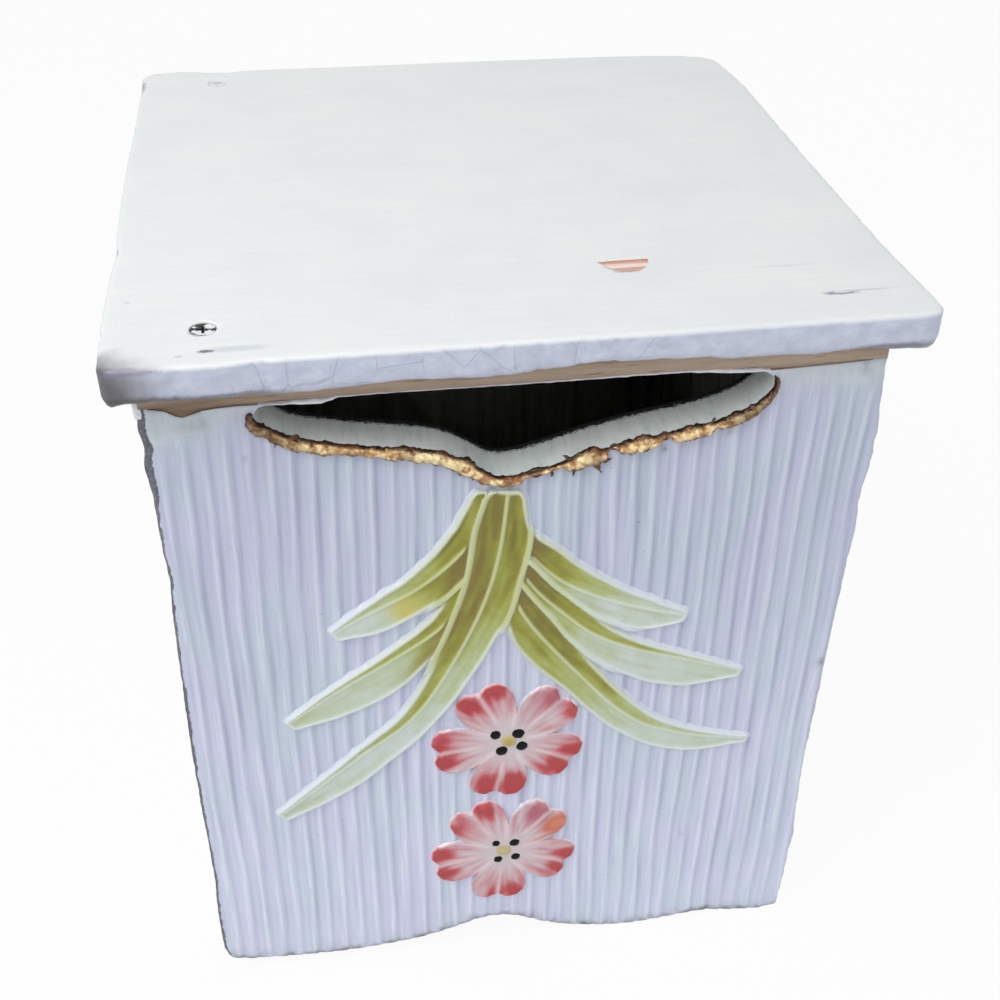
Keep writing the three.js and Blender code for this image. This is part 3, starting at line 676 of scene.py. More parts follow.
# Leaves: six strap leaves in relief that fan down from under the slot, laid on while the coat was soft. Each has
# a raised cream edge and midrib, and between them an olive green glaze lies in a pool that thins towards the tip.
RELIEF = 1.35
POOL = 0.6
HALO = 0.9
RIDGE_PLACE = 1.9
RIDGE_REACH = 0.95
FLANK = 2
MIDRIB_REACH = 0.75
HALO_REACH = 3.2
LEAF_CELLS, LEAF_ROWS = 150, 48
SPRAY_X, SPRAY_TOP, SPRAY_TALL = -4.8, 216.8, 192
LEAF_BREADTH = 14.4
LEAF_ROOT = 2.4
# Each leaf: its midrib across and down from the spray's top, then its widths above and below the midrib, all as
# shares; how green the upper and lower half blades are along the leaf
LEAVES = {
    "left_leaf_lower": (
        [(-0.004, 0.003), (-0.0165, 0.122), (-0.044, 0.234), (-0.1, 0.365), (-0.169, 0.478), (-0.263, 0.559),
         (-0.425, 0.697)],
        [0.44, 0.62, 0.58, 0.54, 0.48, 0.41, 0.34, 0.28, 0.22, 0.17, 0.14],
        [0.42, 0.61, 0.62, 0.68, 0.66, 0.62, 0.6, 0.67, 0.72, 0.56, 0.3],
        [(0, 0.95), (0.3, 0.86), (0.5, 0.7), (0.66, 0.4), (0.82, 0.2), (1, 0.2)],
        [(0, 0.95), (0.2, 0.8), (0.38, 0.42), (0.5, 0.24), (0.62, 0.08), (1, 0.12)],
    ),
    "left_leaf_upper": (
        [(-0.039, 0), (-0.05, 0.072), (-0.072, 0.109), (-0.112, 0.153), (-0.162, 0.192), (-0.225, 0.225),
         (-0.306, 0.272)],
        [0.34, 0.58, 0.52, 0.42, 0.28, 0.14], [0.1, 0.3, 0.53, 0.64, 0.66, 0.28],
        [(0, 0.92), (0.3, 0.8), (0.5, 0.58), (0.7, 0.38), (0.92, 0.2), (1, 0.16)],
        [(0, 0.95), (0.3, 0.92), (0.5, 0.78), (0.64, 0.5), (0.74, 0.16), (0.82, 0.04), (1, 0.12)],
    ),
    "left_leaf_middle": (
        [(-0.061, 0.141), (-0.078, 0.203), (-0.097, 0.25), (-0.131, 0.288), (-0.212, 0.344), (-0.3, 0.4),
         (-0.394, 0.469)],
        [0.24, 0.4, 0.34, 0.24, 0.18, 0.12], [0.1, 0.2, 0.6, 0.9, 0.76, 0.3],
        [(0, 0.85), (0.3, 0.78), (0.5, 0.6), (0.7, 0.4), (1, 0.25)],
        [(0, 0.85), (0.25, 0.74), (0.4, 0.42), (0.56, 0.2), (0.75, 0.12), (1, 0.22)],
    ),
    "right_leaf_upper": (
        [(0.0042, 0.0979), (0.0484, 0.1531), (0.0823, 0.1891), (0.124, 0.2198), (0.1865, 0.2526),
         (0.2594, 0.2802), (0.3219, 0.3)],
        [0.44, 0.62, 0.6, 0.48, 0.33, 0.16], [0.1, 0.1, 0.24, 0.52, 0.64, 0.22],
        [(0, 1), (0.3, 0.76), (0.48, 0.45), (0.66, 0.22), (0.85, 0.14), (1, 0.12)],
        [(0, 0.7), (0.35, 0.42), (0.48, 0.2), (0.62, 0.08), (1, 0.12)],
    ),
    "right_leaf_middle": (
        [(0.0094, 0.1578), (0.0292, 0.1865), (0.051, 0.2177), (0.088, 0.2589), (0.15, 0.319), (0.225, 0.362),
         (0.325, 0.4), (0.437, 0.442)],
        [0.4, 0.56, 0.42, 0.27, 0.18, 0.1], [0.1, 0.2, 0.48, 0.86, 0.86, 0.24],
        [(0, 1.05), (0.2, 0.95), (0.36, 0.66), (0.55, 0.5), (0.78, 0.4), (1, 0.14)],
        [(0, 0.8), (0.28, 0.5), (0.42, 0.2), (0.6, 0.06), (0.85, 0.1), (1, 0.12)],
    ),
    "right_leaf_lower": (
        [(0.012, 0.19), (0.014, 0.234), (0.05, 0.303), (0.125, 0.406), (0.2, 0.5), (0.269, 0.557),
         (0.363, 0.594), (0.469, 0.616)],
        [0.5, 0.56, 0.46, 0.42, 0.25, 0.12], [0.22, 0.66, 0.58, 0.56, 0.6, 0.18],
        [(0, 1.05), (0.25, 0.9), (0.45, 0.7), (0.6, 0.42), (0.75, 0.26), (1, 0.12)],
        [(0, 0.85), (0.2, 0.72), (0.4, 0.46), (0.54, 0.26), (0.66, 0.1), (1, 0.1)],
    ),
}
FLOWERS = {"upper": (-3.8, 109.5, 43.6), "lower": (-4.7, 53, 48.2)}
FLOWER_RADIUS = 28.2
HALF_PETAL = math.pi / 5
# A petal's outline: shares of the flower's radius, from the petal's middle to the cleft beside it
PETAL_EDGE = [(0, 0.905), (0.1, 0.94), (0.24, 0.99), (0.45, 0.985), (0.62, 0.93), (0.76, 0.83), (0.88, 0.7),
              (0.95, 0.6), (1, 0.52)]


def curved(before, start, end, after, share):
    """A value or place between start and end, on a smooth curve through all four."""
    bend = 3 * (start - end) + after - before
    return start + 0.5 * share * (end - before + share * (2 * before - 5 * start + 4 * end - after + share * bend))


def path_through(points, steps):
    """Evenly spaced places, with the directions there, on a smooth line through the points, and its length."""
    ends = [Vector(point) for point in [points[0]] + list(points) + [points[-1]]]
    fine = [curved(*four, part / 24) for four in zip(ends, ends[1:], ends[2:], ends[3:]) for part in range(24)]
    fine.append(ends[-1])
    lengths = [0]
    for before, after in zip(fine, fine[1:]):
        lengths.append(lengths[-1] + (after - before).length)
    places = []
    at = 0
    for step in range(steps + 1):
        wanted = lengths[-1] * step / steps
        while at + 2 < len(fine) and lengths[at + 1] < wanted:
            at += 1
        share = (wanted - lengths[at]) / (lengths[at + 1] - lengths[at])
        places.append((fine[at].lerp(fine[at + 1], min(share, 1)), (fine[at + 1] - fine[at]).normalized()))
    return places, lengths[-1]


def nearest(path):
    """A search tree over a path's places, which lie in X and Z."""
    tree = kdtree.KDTree(len(path))
    for order, (place, along) in enumerate(path):
        tree.insert((place.x, place.y, 0), order)
    tree.balance()
    return tree


class Blade:
    """One leaf's form: its midrib in X and Z, and its widths along it."""

    STEPS = 90
    TIP_ROUND = 3.4

    def __init__(self, name):
        midrib, self.above, self.below, self.upper_green, self.lower_green = LEAVES[name]
        self.side = -1 if name.startswith("left") else 1
        placed = [(SPRAY_X + across * SPRAY_TALL, SPRAY_TOP - down * SPRAY_TALL) for across, down in midrib]
        self.rib, self.length = path_through(placed, self.STEPS)
        self.tree = nearest(self.rib)

    def up(self, along):
        return Vector((-along.y, along.x)) * self.side

    def middle(self, share):
        """Place and direction of the midrib at a share of its length."""
        place = share * self.STEPS
        low = min(int(place), self.STEPS - 1)
        (start, start_along), (end, end_along) = self.rib[low], self.rib[low + 1]
        return start.lerp(end, place - low), start_along.lerp(end_along, place - low).normalized()

    def widths(self, share):
        """Width of the upper and of the lower half blade; both round off at the tip."""
        blunt = max(0, 1 - (1 - share) * self.length / self.TIP_ROUND)
        root_blunt = max(0, 1 - share * self.length / self.TIP_ROUND)
        widths = []
        for shares in (self.above, self.below):
            place = min(share, 0.9999) * (len(shares) - 1)
            low = int(place)
            four = [shares[min(max(low + step, 0), len(shares) - 1)] for step in (-1, 0, 1, 2)]
            width = LEAF_BREADTH * curved(*four, place - low) + HALO
            widths.append(width * math.sqrt(1 - blunt * blunt) * (1 - 0.3 * root_blunt * root_blunt))
        return widths

    def locate(self, x, z):
        """Share along the leaf, distance off its midrib, upwards positive, and distance past its end."""
        at = self.tree.find((x, z, 0))[1]
        place, along = self.rib[at]
        off = Vector((x, z)) - place
        return at / self.STEPS, off.dot(self.up(along)), off.dot(along)

    def covers(self, x, z):
        """How deep inside the leaf's outline a place lies, in millimetres; below zero outside it."""
        share, off, beyond = self.locate(x, z)
        above, below = self.widths(share)
        return min(above - off if off > 0 else below + off, 1.5 - abs(beyond) if share in (0, 1) else 99)


def on_face(x, z, high, rim, flank):
    """Place in Y of a relief's surface: its flank rises from just under the combed face to its full height."""
    ground = -front_relief(x - LEFT, z) - 0.15
    return FRONT - ground - smooth_step(0, flank, rim) * (high - ground)


def backed(bm, depth):
    """Gives an open relief its sides and back: a copy of its surface, pushed flat into the board behind it."""
    pushed = bmesh.ops.extrude_face_region(bm, geom=bm.faces[:], use_keep_orig=True)["geom"]
    for corner in corners_of(pushed):
        corner.co.y = FRONT + depth
    bmesh.ops.recalc_face_normals(bm, faces=bm.faces)


def flower_reach(angle, turn):
    """Radius of a flower's outline: five heart-shaped petals, with a narrow cleft between each two."""
    off = abs((angle - math.radians(turn) + HALF_PETAL) % (2 * HALF_PETAL) - HALF_PETAL) / HALF_PETAL
    return FLOWER_RADIUS * between(PETAL_EDGE, off)


def flower_covers(x, z):
    """How deep inside the nearer flower's outline a place lies, in millimetres."""
    return max(flower_reach(math.atan2(z - cz, x - cx), turn) - math.hypot(x - cx, z - cz)
               for cx, cz, turn in FLOWERS.values())


glaze = Finish("leaf_glaze_finish", Coat_Weight=0.2, Coat_Roughness=0.2)
green, rim = glaze.carried("green"), glaze.carried("rim")
wash = glaze.clouds(6, detail=4, rough=0.6)
colour = glaze.ramp(glaze.plus(green, wash, 0.4, 0.5), [
    (0.0, tone(202, 211, 206)), (0.14, tone(192, 203, 182)), (0.32, tone(178, 189, 137)),
    (0.55, tone(163, 169, 84)), (0.78, tone(144, 144, 36)), (1.0, tone(118, 111, 18)),
])
colour = glaze.laid(colour, tone(120, 97, 34), glaze.carried("brown"), 0.6)
colour = glaze.blend(glaze.carried("yellow"), colour, tone(206, 190, 92))
cream = glaze.blend(glaze.step(green, 0.1, 0.75), tone(208, 217, 208), tone(196, 202, 146))
colour = glaze.laid(colour, cream, glaze.step(glaze.carried("ridge"), 0.1, 0.85), 0.9)
halo = glaze.blend(glaze.step(green, 0.1, 0.9), tone(214, 221, 228), tone(206, 213, 200))
colour = glaze.laid(colour, halo, glaze.step(rim, HALO_REACH, 1.4), 0.85)
colour = glaze.blend(glaze.step(rim, 1.8, 0.3), colour, tone(206, 211, 225))
glaze.done(colour, glaze.plus(0.24, wash, 0.15), glaze.clouds(1.2), 0.1)

blades = {name: Blade(name) for name in LEAVES}
stem = blades["left_leaf_lower"]
for order, (name, blade) in enumerate(blades.items()):
    # A leaf ends where the flowers or an earlier leaf lie over it, and gives up its rim to a later one
    earlier, later = list(blades.values())[:order], list(blades.values())[order + 1:]
    bm = bmesh.new()
    bmesh.ops.create_grid(bm, x_segments=LEAF_CELLS, y_segments=LEAF_ROWS, size=0.5)
    facts = {"green": [], "ridge": [], "brown": [], "yellow": [], "rim": []}
    for vert in bm.verts:
        share, side = vert.co.x + 0.5, vert.co.y * 2
        upper = side > 0
        centre, along = blade.middle(share)
        half = blade.widths(share)[0 if upper else 1]
        stray = 0.4 * waver(share * 11, math.copysign(3, side), order * 3)
        spot = centre + blade.up(along) * (side * half + stray * side * abs(side))
        near = max([other.covers(spot.x, spot.y) for other in earlier] + [flower_covers(spot.x, spot.y) - 0.4])
        to_root = share * blade.length + 1.5 if order < 2 else 99
        rim = min(half * (1 - abs(side)), (1 - share) * blade.length, to_root)
        alone = smooth_step(-0.2, -2, near)
        met = 0
        if rim < HALO_REACH and later:
            met = smooth_step(-4.5, 1.5, max(other.covers(spot.x, spot.y) for other in later))
        # The surface: raised along the rim, the midrib and the joints, and low where the glaze pools
        edge = hump(rim - RIDGE_PLACE + met, RIDGE_REACH) * (0.6 + 0.4 * min(1, half / 4.2))
        midrib = hump(side * half, MIDRIB_REACH) * (1 - 0.35 * share) * smooth_step(0, 4, rim)
        joint = max(smooth_step(-0.5, 0, near), met * smooth_step(2, 1, rim))
        lifted = max(edge * alone, midrib * alone, joint)
        high = POOL + (RELIEF * (1 - 0.2 * share) - POOL) * lifted - max(0, near - 0.4) * 1.3
        high += 0.1 * waver(spot.x / 5, spot.y / 5, 2)
        joined_rim = max(rim, (near + 0.4) * 3, (rim + 2.2) * met)
        vert.co = (spot.x, on_face(spot.x, spot.y, high, joined_rim, FLANK), spot.y)
        # The glaze: streaked along the leaf, and darker in the half that lies under the stem
        streak = waver(share * blade.length / 18, side * half / 2.4, order * 7)
        streak += 0.3 * waver(share * blade.length / 7, side * half / 1.4, order * 7 + 3)
        under_stem = order > 0 and share < 0.7 and (upper if blade.side > 0 else side < 0)
        dark = 0.85 * smooth_step(-8, -2, stem.covers(spot.x, spot.y)) * under_stem
        green = between(blade.upper_green if upper else blade.lower_green, share)
        stem_brown = max(0, 1 - abs(share - 0.24) * 4) * (0.8 if upper else 0.1) * (order == 0)
        facts["green"].append(green * (1 + 0.3 * streak) + 0.2 * dark)
        facts["brown"].append(max(dark * 0.9, stem_brown + streak * 0.3))
        facts["yellow"].append(max(0, 1 - abs(share - 0.66) * 9) * 0.7 * (order == 1 and not upper))
        facts["ridge"].append(lifted)
        facts["rim"].append(min(joined_rim, 9))
    backed(bm, LEAF_ROOT)
    piece = finish_piece(bm, name + "_relief", [glaze.material], [name])
    for fact, values in facts.items():
        carry(piece, fact, values)


# Flowers: two five-petalled flowers in relief, pressed on below the leaves. Their rims are whitish pink, and the
# glaze runs from nearly white at the heart to red in the hollow of each lobe, one redder than the next.
FLOWER_HEIGHT = 1.45
FLOWER_POOL = 1.0
FLOWER_CELLS, FLOWER_ROWS = 240, 46
# Each lobe: place in X and Z, how red it is, and its hue from mauve, below 0, to orange, above 0
LOBES = [
    (-28.2, 110.8, 0.85, 0), (-26.6, 102.6, 1, 0.1), (-16.8, 127.2, 1, 0), (-9.2, 133.2, 0.95, 0),
    (11.8, 128.6, 0.75, -0.5), (19.6, 121.6, 0.75, 0.3), (19, 102.6, 1, 0.1), (13.4, 95.6, 1.3, 0.15),
    (-10.4, 88.3, 1.35, 0.1), (-1.9, 88, 1.3, 0.1), (-28.6, 53.4, 0.85, 0), (-27, 43.8, 0.95, 0.1),
    (-19.4, 68.6, 0.7, 0.1), (-11.8, 74.2, 0.75, 0), (7.6, 71, 0.6, -0.6), (15.4, 64, 0.85, 0.8),
    (19.2, 47.2, 0.95, 0), (16.2, 40.8, 1, 0.1), (-8.6, 30.4, 0.8, 0.05), (-0.6, 30.6, 0.85, 0.05),
]
petal = Finish("petal_glaze_finish", Coat_Weight=0.35, Coat_Roughness=0.15)
blush, hue, rim = petal.carried("blush"), petal.carried("hue"), petal.carried("rim")
wash = petal.clouds(3.5, detail=4, rough=0.6)
colour = petal.ramp(petal.plus(blush, wash, 0.25, 0.5), [
    (0.0, tone(205, 192, 195)), (0.18, tone(204, 172, 177)), (0.42, tone(197, 134, 140)),
    (0.65, tone(187, 70, 77)), (0.88, tone(172, 32, 40)),
])
colour = petal.laid(colour, tone(204, 118, 80), petal.step(hue, 0.1, 0.9), blush)
colour = petal.laid(colour, tone(164, 104, 124), petal.step(hue, -0.1, -0.8), blush)
colour = petal.laid(colour, tone(228, 214, 218), petal.carried("line"), 0.55)
edge = petal.blend(petal.step(blush, 0.1, 0.7), tone(224, 222, 230), tone(230, 192, 196))
colour = petal.blend(petal.step(rim, 1.2, 0.4), colour, edge)
colour = petal.blend(petal.step(rim, 0.6, 0.05), colour, tone(207, 210, 224))
petal.done(colour, petal.plus(0.22, wash, 0.15), petal.clouds(0.8), 0.1)

for name, (cx, cz, turn) in FLOWERS.items():
    bm = bmesh.new()
    bmesh.ops.create_grid(bm, x_segments=FLOWER_CELLS, y_segments=FLOWER_ROWS, size=0.5)
    for vert in bm.verts:
        angle = (vert.co.x + 0.5) * 2 * math.pi
        reach = flower_reach(angle, turn) + 0.5 * waver(math.cos(angle) * 3, math.sin(angle) * 3, cz)
        radius = (vert.co.y + 0.5) * reach
        off = (angle - math.radians(turn) + HALF_PETAL) % (2 * HALF_PETAL) - HALF_PETAL
        rim_ridge = hump(reach - radius - 1.2, 0.75)
        centre_line = hump(off * radius, 0.7) * clamped((radius - 9) / 4)
        cleft_ridge = hump((HALF_PETAL - abs(off)) * radius, 0.8) * clamped((radius - 6) / 3)
        high = FLOWER_POOL - 0.3 * hump(radius - 22, 6) * (1 - rim_ridge)
        high += (FLOWER_HEIGHT - FLOWER_POOL) * max(rim_ridge, 0.65 * cleft_ridge, 0.45 * centre_line)
        x, z = cx + radius * math.cos(angle), cz + radius * math.sin(angle)
        vert.co = (x, on_face(x, z, high, reach - radius, FLANK), z)
    bmesh.ops.remove_doubles(bm, verts=bm.verts, dist=0.004)
    backed(bm, LEAF_ROOT)
    piece = finish_piece(bm, name + "_flower_relief", [petal.material], [name + "_flower"])

    def polar(at):
        """Direction and distance from the flower's middle, and direction off the nearest petal's."""
        angle = math.atan2(at.z - cz, at.x - cx)
        off = (angle - math.radians(turn) + HALF_PETAL) % (2 * HALF_PETAL) - HALF_PETAL
        return angle, math.hypot(at.x - cx, at.z - cz), off

    def blush_at(at):
        """How red the glaze is: deep in the lobes, from where it runs in veins towards the heart."""
        angle, radius, off = polar(at)
        spread = 0
        for x, z, deep, shift in LOBES:
            away = Vector((at.x - x, at.z - z))
            outward = Vector((x - cx, z - cz)).normalized()
            radial, side = away.dot(outward), away.dot(Vector((-outward.y, outward.x)))
            spread = max(spread, deep * hump(radial - 1, 5.8 if radial < 1 else 6) * hump(side, 4.4))
        vein = waver(math.cos(angle) * 9, math.sin(angle) * 9, radius / 9 + cz)
        return clamped(spread * (1 + 0.4 * vein) + (0.2 + 0.3 * vein) * clamped((radius - 6) / 8), 0, 1.1)

    def hue_at(at):
        return min(LOBES, key=lambda lobe: math.hypot(at.x - lobe[0], at.z - lobe[1]))[3]

    def line_at(at):
        """The pale lines down the middle of each petal and along the clefts."""
        angle, radius, off = polar(at)
        middle = hump(off * radius, 0.9) * clamped((radius - 8) / 4)
        cleft = hump((HALF_PETAL - abs(off)) * radius, 1.0) * clamped((radius - 5) / 3)
        return max(middle, cleft)

    carry(piece, "blush", blush_at)
    carry(piece, "hue", hue_at)
    carry(piece, "line", line_at)
    carry(piece, "rim", lambda at: max(0, flower_reach(polar(at)[0], turn) - polar(at)[1]))


# Hearts of the flowers: a soft yellow button with four black drops set round it by hand, none of them quite round
# and the two flowers' drops not alike. They stand on the petals' glaze.
BUTTON_RADIUS, DROP_TALL = 2.9, 0.75
# Each flower: its drops in X and Z with their radii, and the place of its button
HEARTS = {
    "upper": ([(-8.7, 113.3, 2), (-0.6, 112.9, 2.2), (0.8, 106.8, 2.1), (-6.4, 105.4, 2.1)], (-3.9, 109.7)),
    "lower": ([(-7.9, 57.4, 1.5), (-1, 56.9, 1.9), (-0.5, 49.1, 1.7), (-7.1, 48.6, 1.6)], (-4.9, 53)),
}
yolk = Finish("button_glaze_finish", Coat_Weight=0.3, Coat_Roughness=0.2)
blotch = yolk.clouds(2.5)
colour = yolk.ramp(blotch, [(0.35, tone(168, 150, 40)), (0.6, tone(176, 160, 66))])
colour = yolk.laid(colour, tone(200, 194, 160), yolk.step_on("Z", 90, 60), 0.5)
colour = yolk.blend(yolk.step_on("Y", FRONT - 1.65, FRONT - 1.35), colour, tone(188, 174, 122))
yolk.done(colour, 0.3, blotch, 0.15)
ink = Finish("black_drop_glaze", Specular_IOR_Level=0.12)
sheen = ink.clouds(1, detail=2)
ink.done(ink.ramp(sheen, [(0.3, tone(8, 9, 9)), (0.8, tone(18, 20, 20))]), 0.45, sheen, 0.08)


def drop(bm, x, z, radius, seed, material):
    """A raised drop of glaze with a wavering outline, its foot let into the petals."""
    made = bmesh.ops.create_icosphere(bm, subdivisions=4, radius=1)["verts"]
    for vert in made:
        wide = radius * (1 + 0.16 * noise.noise(vert.co * 1.3 + Vector((seed, 0, 0))))
        vert.co = (x + wide * vert.co.x, FRONT - FLOWER_POOL + 0.1 + DROP_TALL * vert.co.y, z + wide * vert.co.z)
    for face in {face for vert in made for face in vert.link_faces}:
        face.material_index = material


for name, (drops, (x, z)) in HEARTS.items():
    bm = bmesh.new()
    drop(bm, x, z, BUTTON_RADIUS, z, 0)
    for order, (drop_x, drop_z, radius) in enumerate(drops):
        drop(bm, drop_x, drop_z, radius, order * 7 + z, 1)
    finish_piece(bm, name + "_flower_heart", [yolk.material, ink.material],
                 [name + "_flower_centre"])


# Gilded bead: a cord of soft filler pressed along the lip of the slot and gilded, crinkled like foil. It swells
# into lumps, thins out and breaks off in places, and dark brown size shows in its hollows and along its foot.
BEAD_STEPS = 620
WIDEST_BEAD = 6.4
WELD_SIZE = 0.36
FOLD_DEPTH = 0.5
# The lip of the slot: shares across and up from its low point, to the left and to the right
LIP_SHARES = [
    (-0.895, 1), (-0.97, 0.93), (-0.985, 0.82), (-0.92, 0.712), (-0.84, 0.596), (-0.726, 0.53), (-0.565, 0.455),
    (-0.371, 0.382), (-0.242, 0.3), (-0.145, 0.165), (-0.056, 0.026), (0.015, 0), (0.09, 0.03), (0.163, 0.078),
    (0.252, 0.15), (0.37, 0.232), (0.519, 0.318), (0.696, 0.396), (0.815, 0.472), (0.904, 0.565), (0.965, 0.68),
    (1, 0.83), (0.97, 0.93), (0.9, 1),
]
LIP_LOW_X, LIP_LOW_Z, LIP_LEFT, LIP_RIGHT, LIP_RISE = -6, 221.4, 74.4, 81, 32
# How wide the bead is at places across the slot
BEAD_WIDTHS = [
    (-82, 3.6), (-78, 4.4), (-74, 3.9), (-70, 4.6), (-66, 4.9), (-58, 4.8), (-55, 3.9), (-49, 3.6), (-44, 3.7),
    (-41, 4.6), (-34, 5), (-26, 4.8), (-22, 4.6), (-18, 6), (-14, 4.4), (-10, 4), (-3, 3.6), (-0.5, 2),
    (2.5, 1.2), (5.5, 1.8), (7, 1.7), (10.5, 2), (12.5, 4.4), (16, 6.2), (21, 6.8), (23.5, 4.4), (25, 0.6),
    (26.8, 0.6), (28.5, 4), (32, 5.6), (37, 5.6), (40, 3.4), (41.5, 1.6), (43.5, 1.6), (45, 4.2), (49, 5.4),
    (55, 4.8), (57.5, 2.4), (59.5, 4), (64, 5), (68, 4), (72, 3.3), (76, 2.8),
]
# Loops of the cord: place in X and Z, half their width and height, thickness and tilt
LOOPS = [(2.9, 222.3, 2.6, 1.1, 0.75, 8), (-18, 226.4, 1.9, 1.5, 0.8, 0), (-68.5, 240.2, 1.4, 1.2, 0.6, 30),
         (42.2, 231.8, 1.2, 1.1, 0.6, 20), (26.7, 229.4, 1.1, 0.9, 0.45, 0)]
# Pinched-out tags: place in X and Z, direction, length and radius
TAGS = [(14, 226, 150, 4.2, 1), (15, 224, 262, 4.2, 1), (18, 226, 60, 3.6, 1), (21, 224, 300, 4, 1.1),
        (16, 226, 100, 3, 0.9), (23.5, 224.6, 20, 3.4, 0.8), (33, 229, 250, 3.4, 0.9), (38, 230, 20, 4, 1),
        (49, 232.6, 280, 3.2, 0.9), (56, 235, 60, 3, 0.8), (-73, 242, 250, 4, 0.9), (-77, 245.4, 230, 3.2, 0.9),
        (-68, 240, 280, 3.4, 0.9), (-20, 226, 260, 3.4, 0.9), (-15.5, 224, 250, 3, 0.8),
        (-52, 235.4, 260, 2.6, 0.8), (-40, 233.4, 265, 2.4, 0.8), (8, 222, 250, 1.8, 0.6)]
lip_corners = [(LIP_LOW_X + across * (LIP_LEFT if across < 0 else LIP_RIGHT), LIP_LOW_Z + up * LIP_RISE)
               for across, up in LIP_SHARES]
# The bead stops short of both ends of the lip
lip_run = path_through(lip_corners, 900)[0][38:862]


def bead_middle(width):
    """How far below the lip the cord's middle line lies: a wide cord reaches up over the lip."""
    return width * (0.5 - 0.3 * min(1, width / WIDEST_BEAD) ** 3)


def gilt_station(along, turn):
    place, heading = lip_run[min(int(along * len(lip_run)), len(lip_run) - 1)]
    width = between(BEAD_WIDTHS, place.x) * (1 + 0.25 * waver(along * 60, 0, 2))
    width *= min(1, 0.35 + along * 30, 0.25 + (1 - along) * 16)
    angle = turn * 2 * math.pi
    across = bead_middle(width) + 0.5 * waver(along * 34, 5, 2) - width / 2 * math.cos(angle)
    high = 0.45 + 2.1 * math.sqrt(min(1, width / WIDEST_BEAD)) if width > 1 else 0.3
    rise = (high if math.sin(angle) > 0 else 0.9) * math.sin(angle)
    return Vector((place.x + heading.y * across, FRONT - 0.1 - rise, place.y - heading.x * across))


def ring_loop(x, z, across, up, thick, tilt):
    """A loop of the cord, lying flat on the face."""
    def station(along, turn):
        angle, girth = along * 2 * math.pi, turn * 2 * math.pi
        flat = Vector(((across + thick * math.cos(girth)) * math.cos(angle),
                       (up + thick * math.cos(girth)) * math.sin(angle)))
        flat.rotate(Matrix.Rotation(math.radians(tilt), 2))
        return Vector((x + flat.x, FRONT - 0.5 - thick * math.sin(girth), z + flat.y))
    return station


def add_tag(bm, x, z, angle, length, radius):
    """A pinched-out tag of the cord, thick at its foot and pointed."""
    cone = bmesh.ops.create_cone(bm, cap_ends=True, segments=10, radius1=radius, radius2=0.25, depth=length)
    heading = Vector((math.cos(math.radians(angle)), 0, math.sin(math.radians(angle))))
    turn = heading.to_track_quat("Z", "Y").to_matrix().to_4x4()
    place = Vector((x, FRONT - 0.9, z)) + heading * length / 2
    bmesh.ops.transform(bm, matrix=Matrix.Translation(place) @ turn, verts=cone["verts"])


bm = bmesh.new()
add_tube(bm, BEAD_STEPS, 18, gilt_station)
for loop in LOOPS:
    add_tube(bm, 40, 10, ring_loop(*loop))
for tag in TAGS:
    add_tag(bm, *tag)
close_tubes(bm)
gold = Finish("crinkled_gilding", Metallic=0.5)
crease = gold.clouds(2.6, rough=0.55)
tarnish = gold.clouds(6)
lift = gold.calc("SUBTRACT", FRONT - 0.2, gold.place_on("Y"))
level = gold.times(gold.calc("SUBTRACT", crease, 0.2), 1.4)
# The colour runs from dark brown size low on the face up to pale gold on the raised crown, the palest of it a
# painted highlight
colour = gold.ramp(gold.plus(level, lift, 0.25), [
    (0.34, tone(42, 27, 16)), (0.5, tone(92, 62, 38)), (0.66, tone(146, 108, 72)), (0.84, tone(190, 150, 102)),
    (1.0, tone(238, 216, 164)),
])
# Painted highlight: a pale patch on the crown of the cord left of the middle
painted_highlight = gold.times(gold.step_on("X", -44, -34), gold.step_on("X", -17, -22))
painted_highlight = gold.times(gold.times(painted_highlight, gold.step(lift, 0.9, 1.5)), gold.step(crease, 0.36, 0.5))
colour = gold.laid(colour, tone(240, 222, 172), painted_highlight, 0.8)
size_line = gold.step(gold.plus(gold.carried("outline"), crease, 0.5), 0.8, 1.15)
colour = gold.laid(colour, tone(50, 34, 22), size_line, 0.85)
colour = gold.laid(colour, tone(116, 74, 44), gold.step(tarnish, 0.46, 0.66), 0.6)
dark_ends = gold.calc("ADD", gold.step_on("X", 52, 70), gold.step_on("X", -62, -76))
colour = gold.laid(colour, tone(58, 38, 24), dark_ends, 0.7)
gold.done(colour, gold.plus(0.2, tarnish, 0.35), crease, 0.45)
piece = finish_piece(bm, "gilt_cord", [gold.material], ["gilt_bead"])
weld = piece.modifiers.new("weld", "REMESH")
weld.mode = "VOXEL"
weld.voxel_size = WELD_SIZE * MM
weld.use_smooth_shade = True
settle(piece)
normals = [vert.normal.copy() for vert in piece.data.vertices]
for vert, normal in zip(piece.data.vertices, normals):
    at = vert.co / MM
    fold = noise.noise(at / 2.4 + Vector((0, 0, 3))) + 0.4 * noise.noise(at / 1.1)
    vert.co += normal * MM * FOLD_DEPTH * (abs(fold) * 1.6 - 0.5)
piece.data.materials.clear()
piece.data.materials.append(gold.material)
lip_tree = nearest(lip_run)


def outline_at(at):
    """How near the cord's upper or lower edge a place lies: 0 along its middle and 1 at the edge."""
    place, heading = lip_run[lip_tree.find((at.x, at.z, 0))[1]]
    width = between(BEAD_WIDTHS, place.x)
    off = (at.x - place.x) * heading.y - (at.z - place.y) * heading.x
    return min(1.2, abs(off - bead_middle(width)) / (width / 2))


carry(piece, "outline", outline_at)


# Lid: a square white-painted board that stands out all round the case. Its edges waver, its back right corner is
# worn round, a flake of paint is gone from its top, and the front left corner is grey with handling.
lid_low, lid_high = cad_extent("lid_board")
LID_TOP, LID_FOOT = lid_high.z, lid_low.z
LID_CELLS = 120
ARRIS = 1.4
LID_HALF_X, LID_HALF_Y = 120, 120.75
DROOP_FROM = 6.5
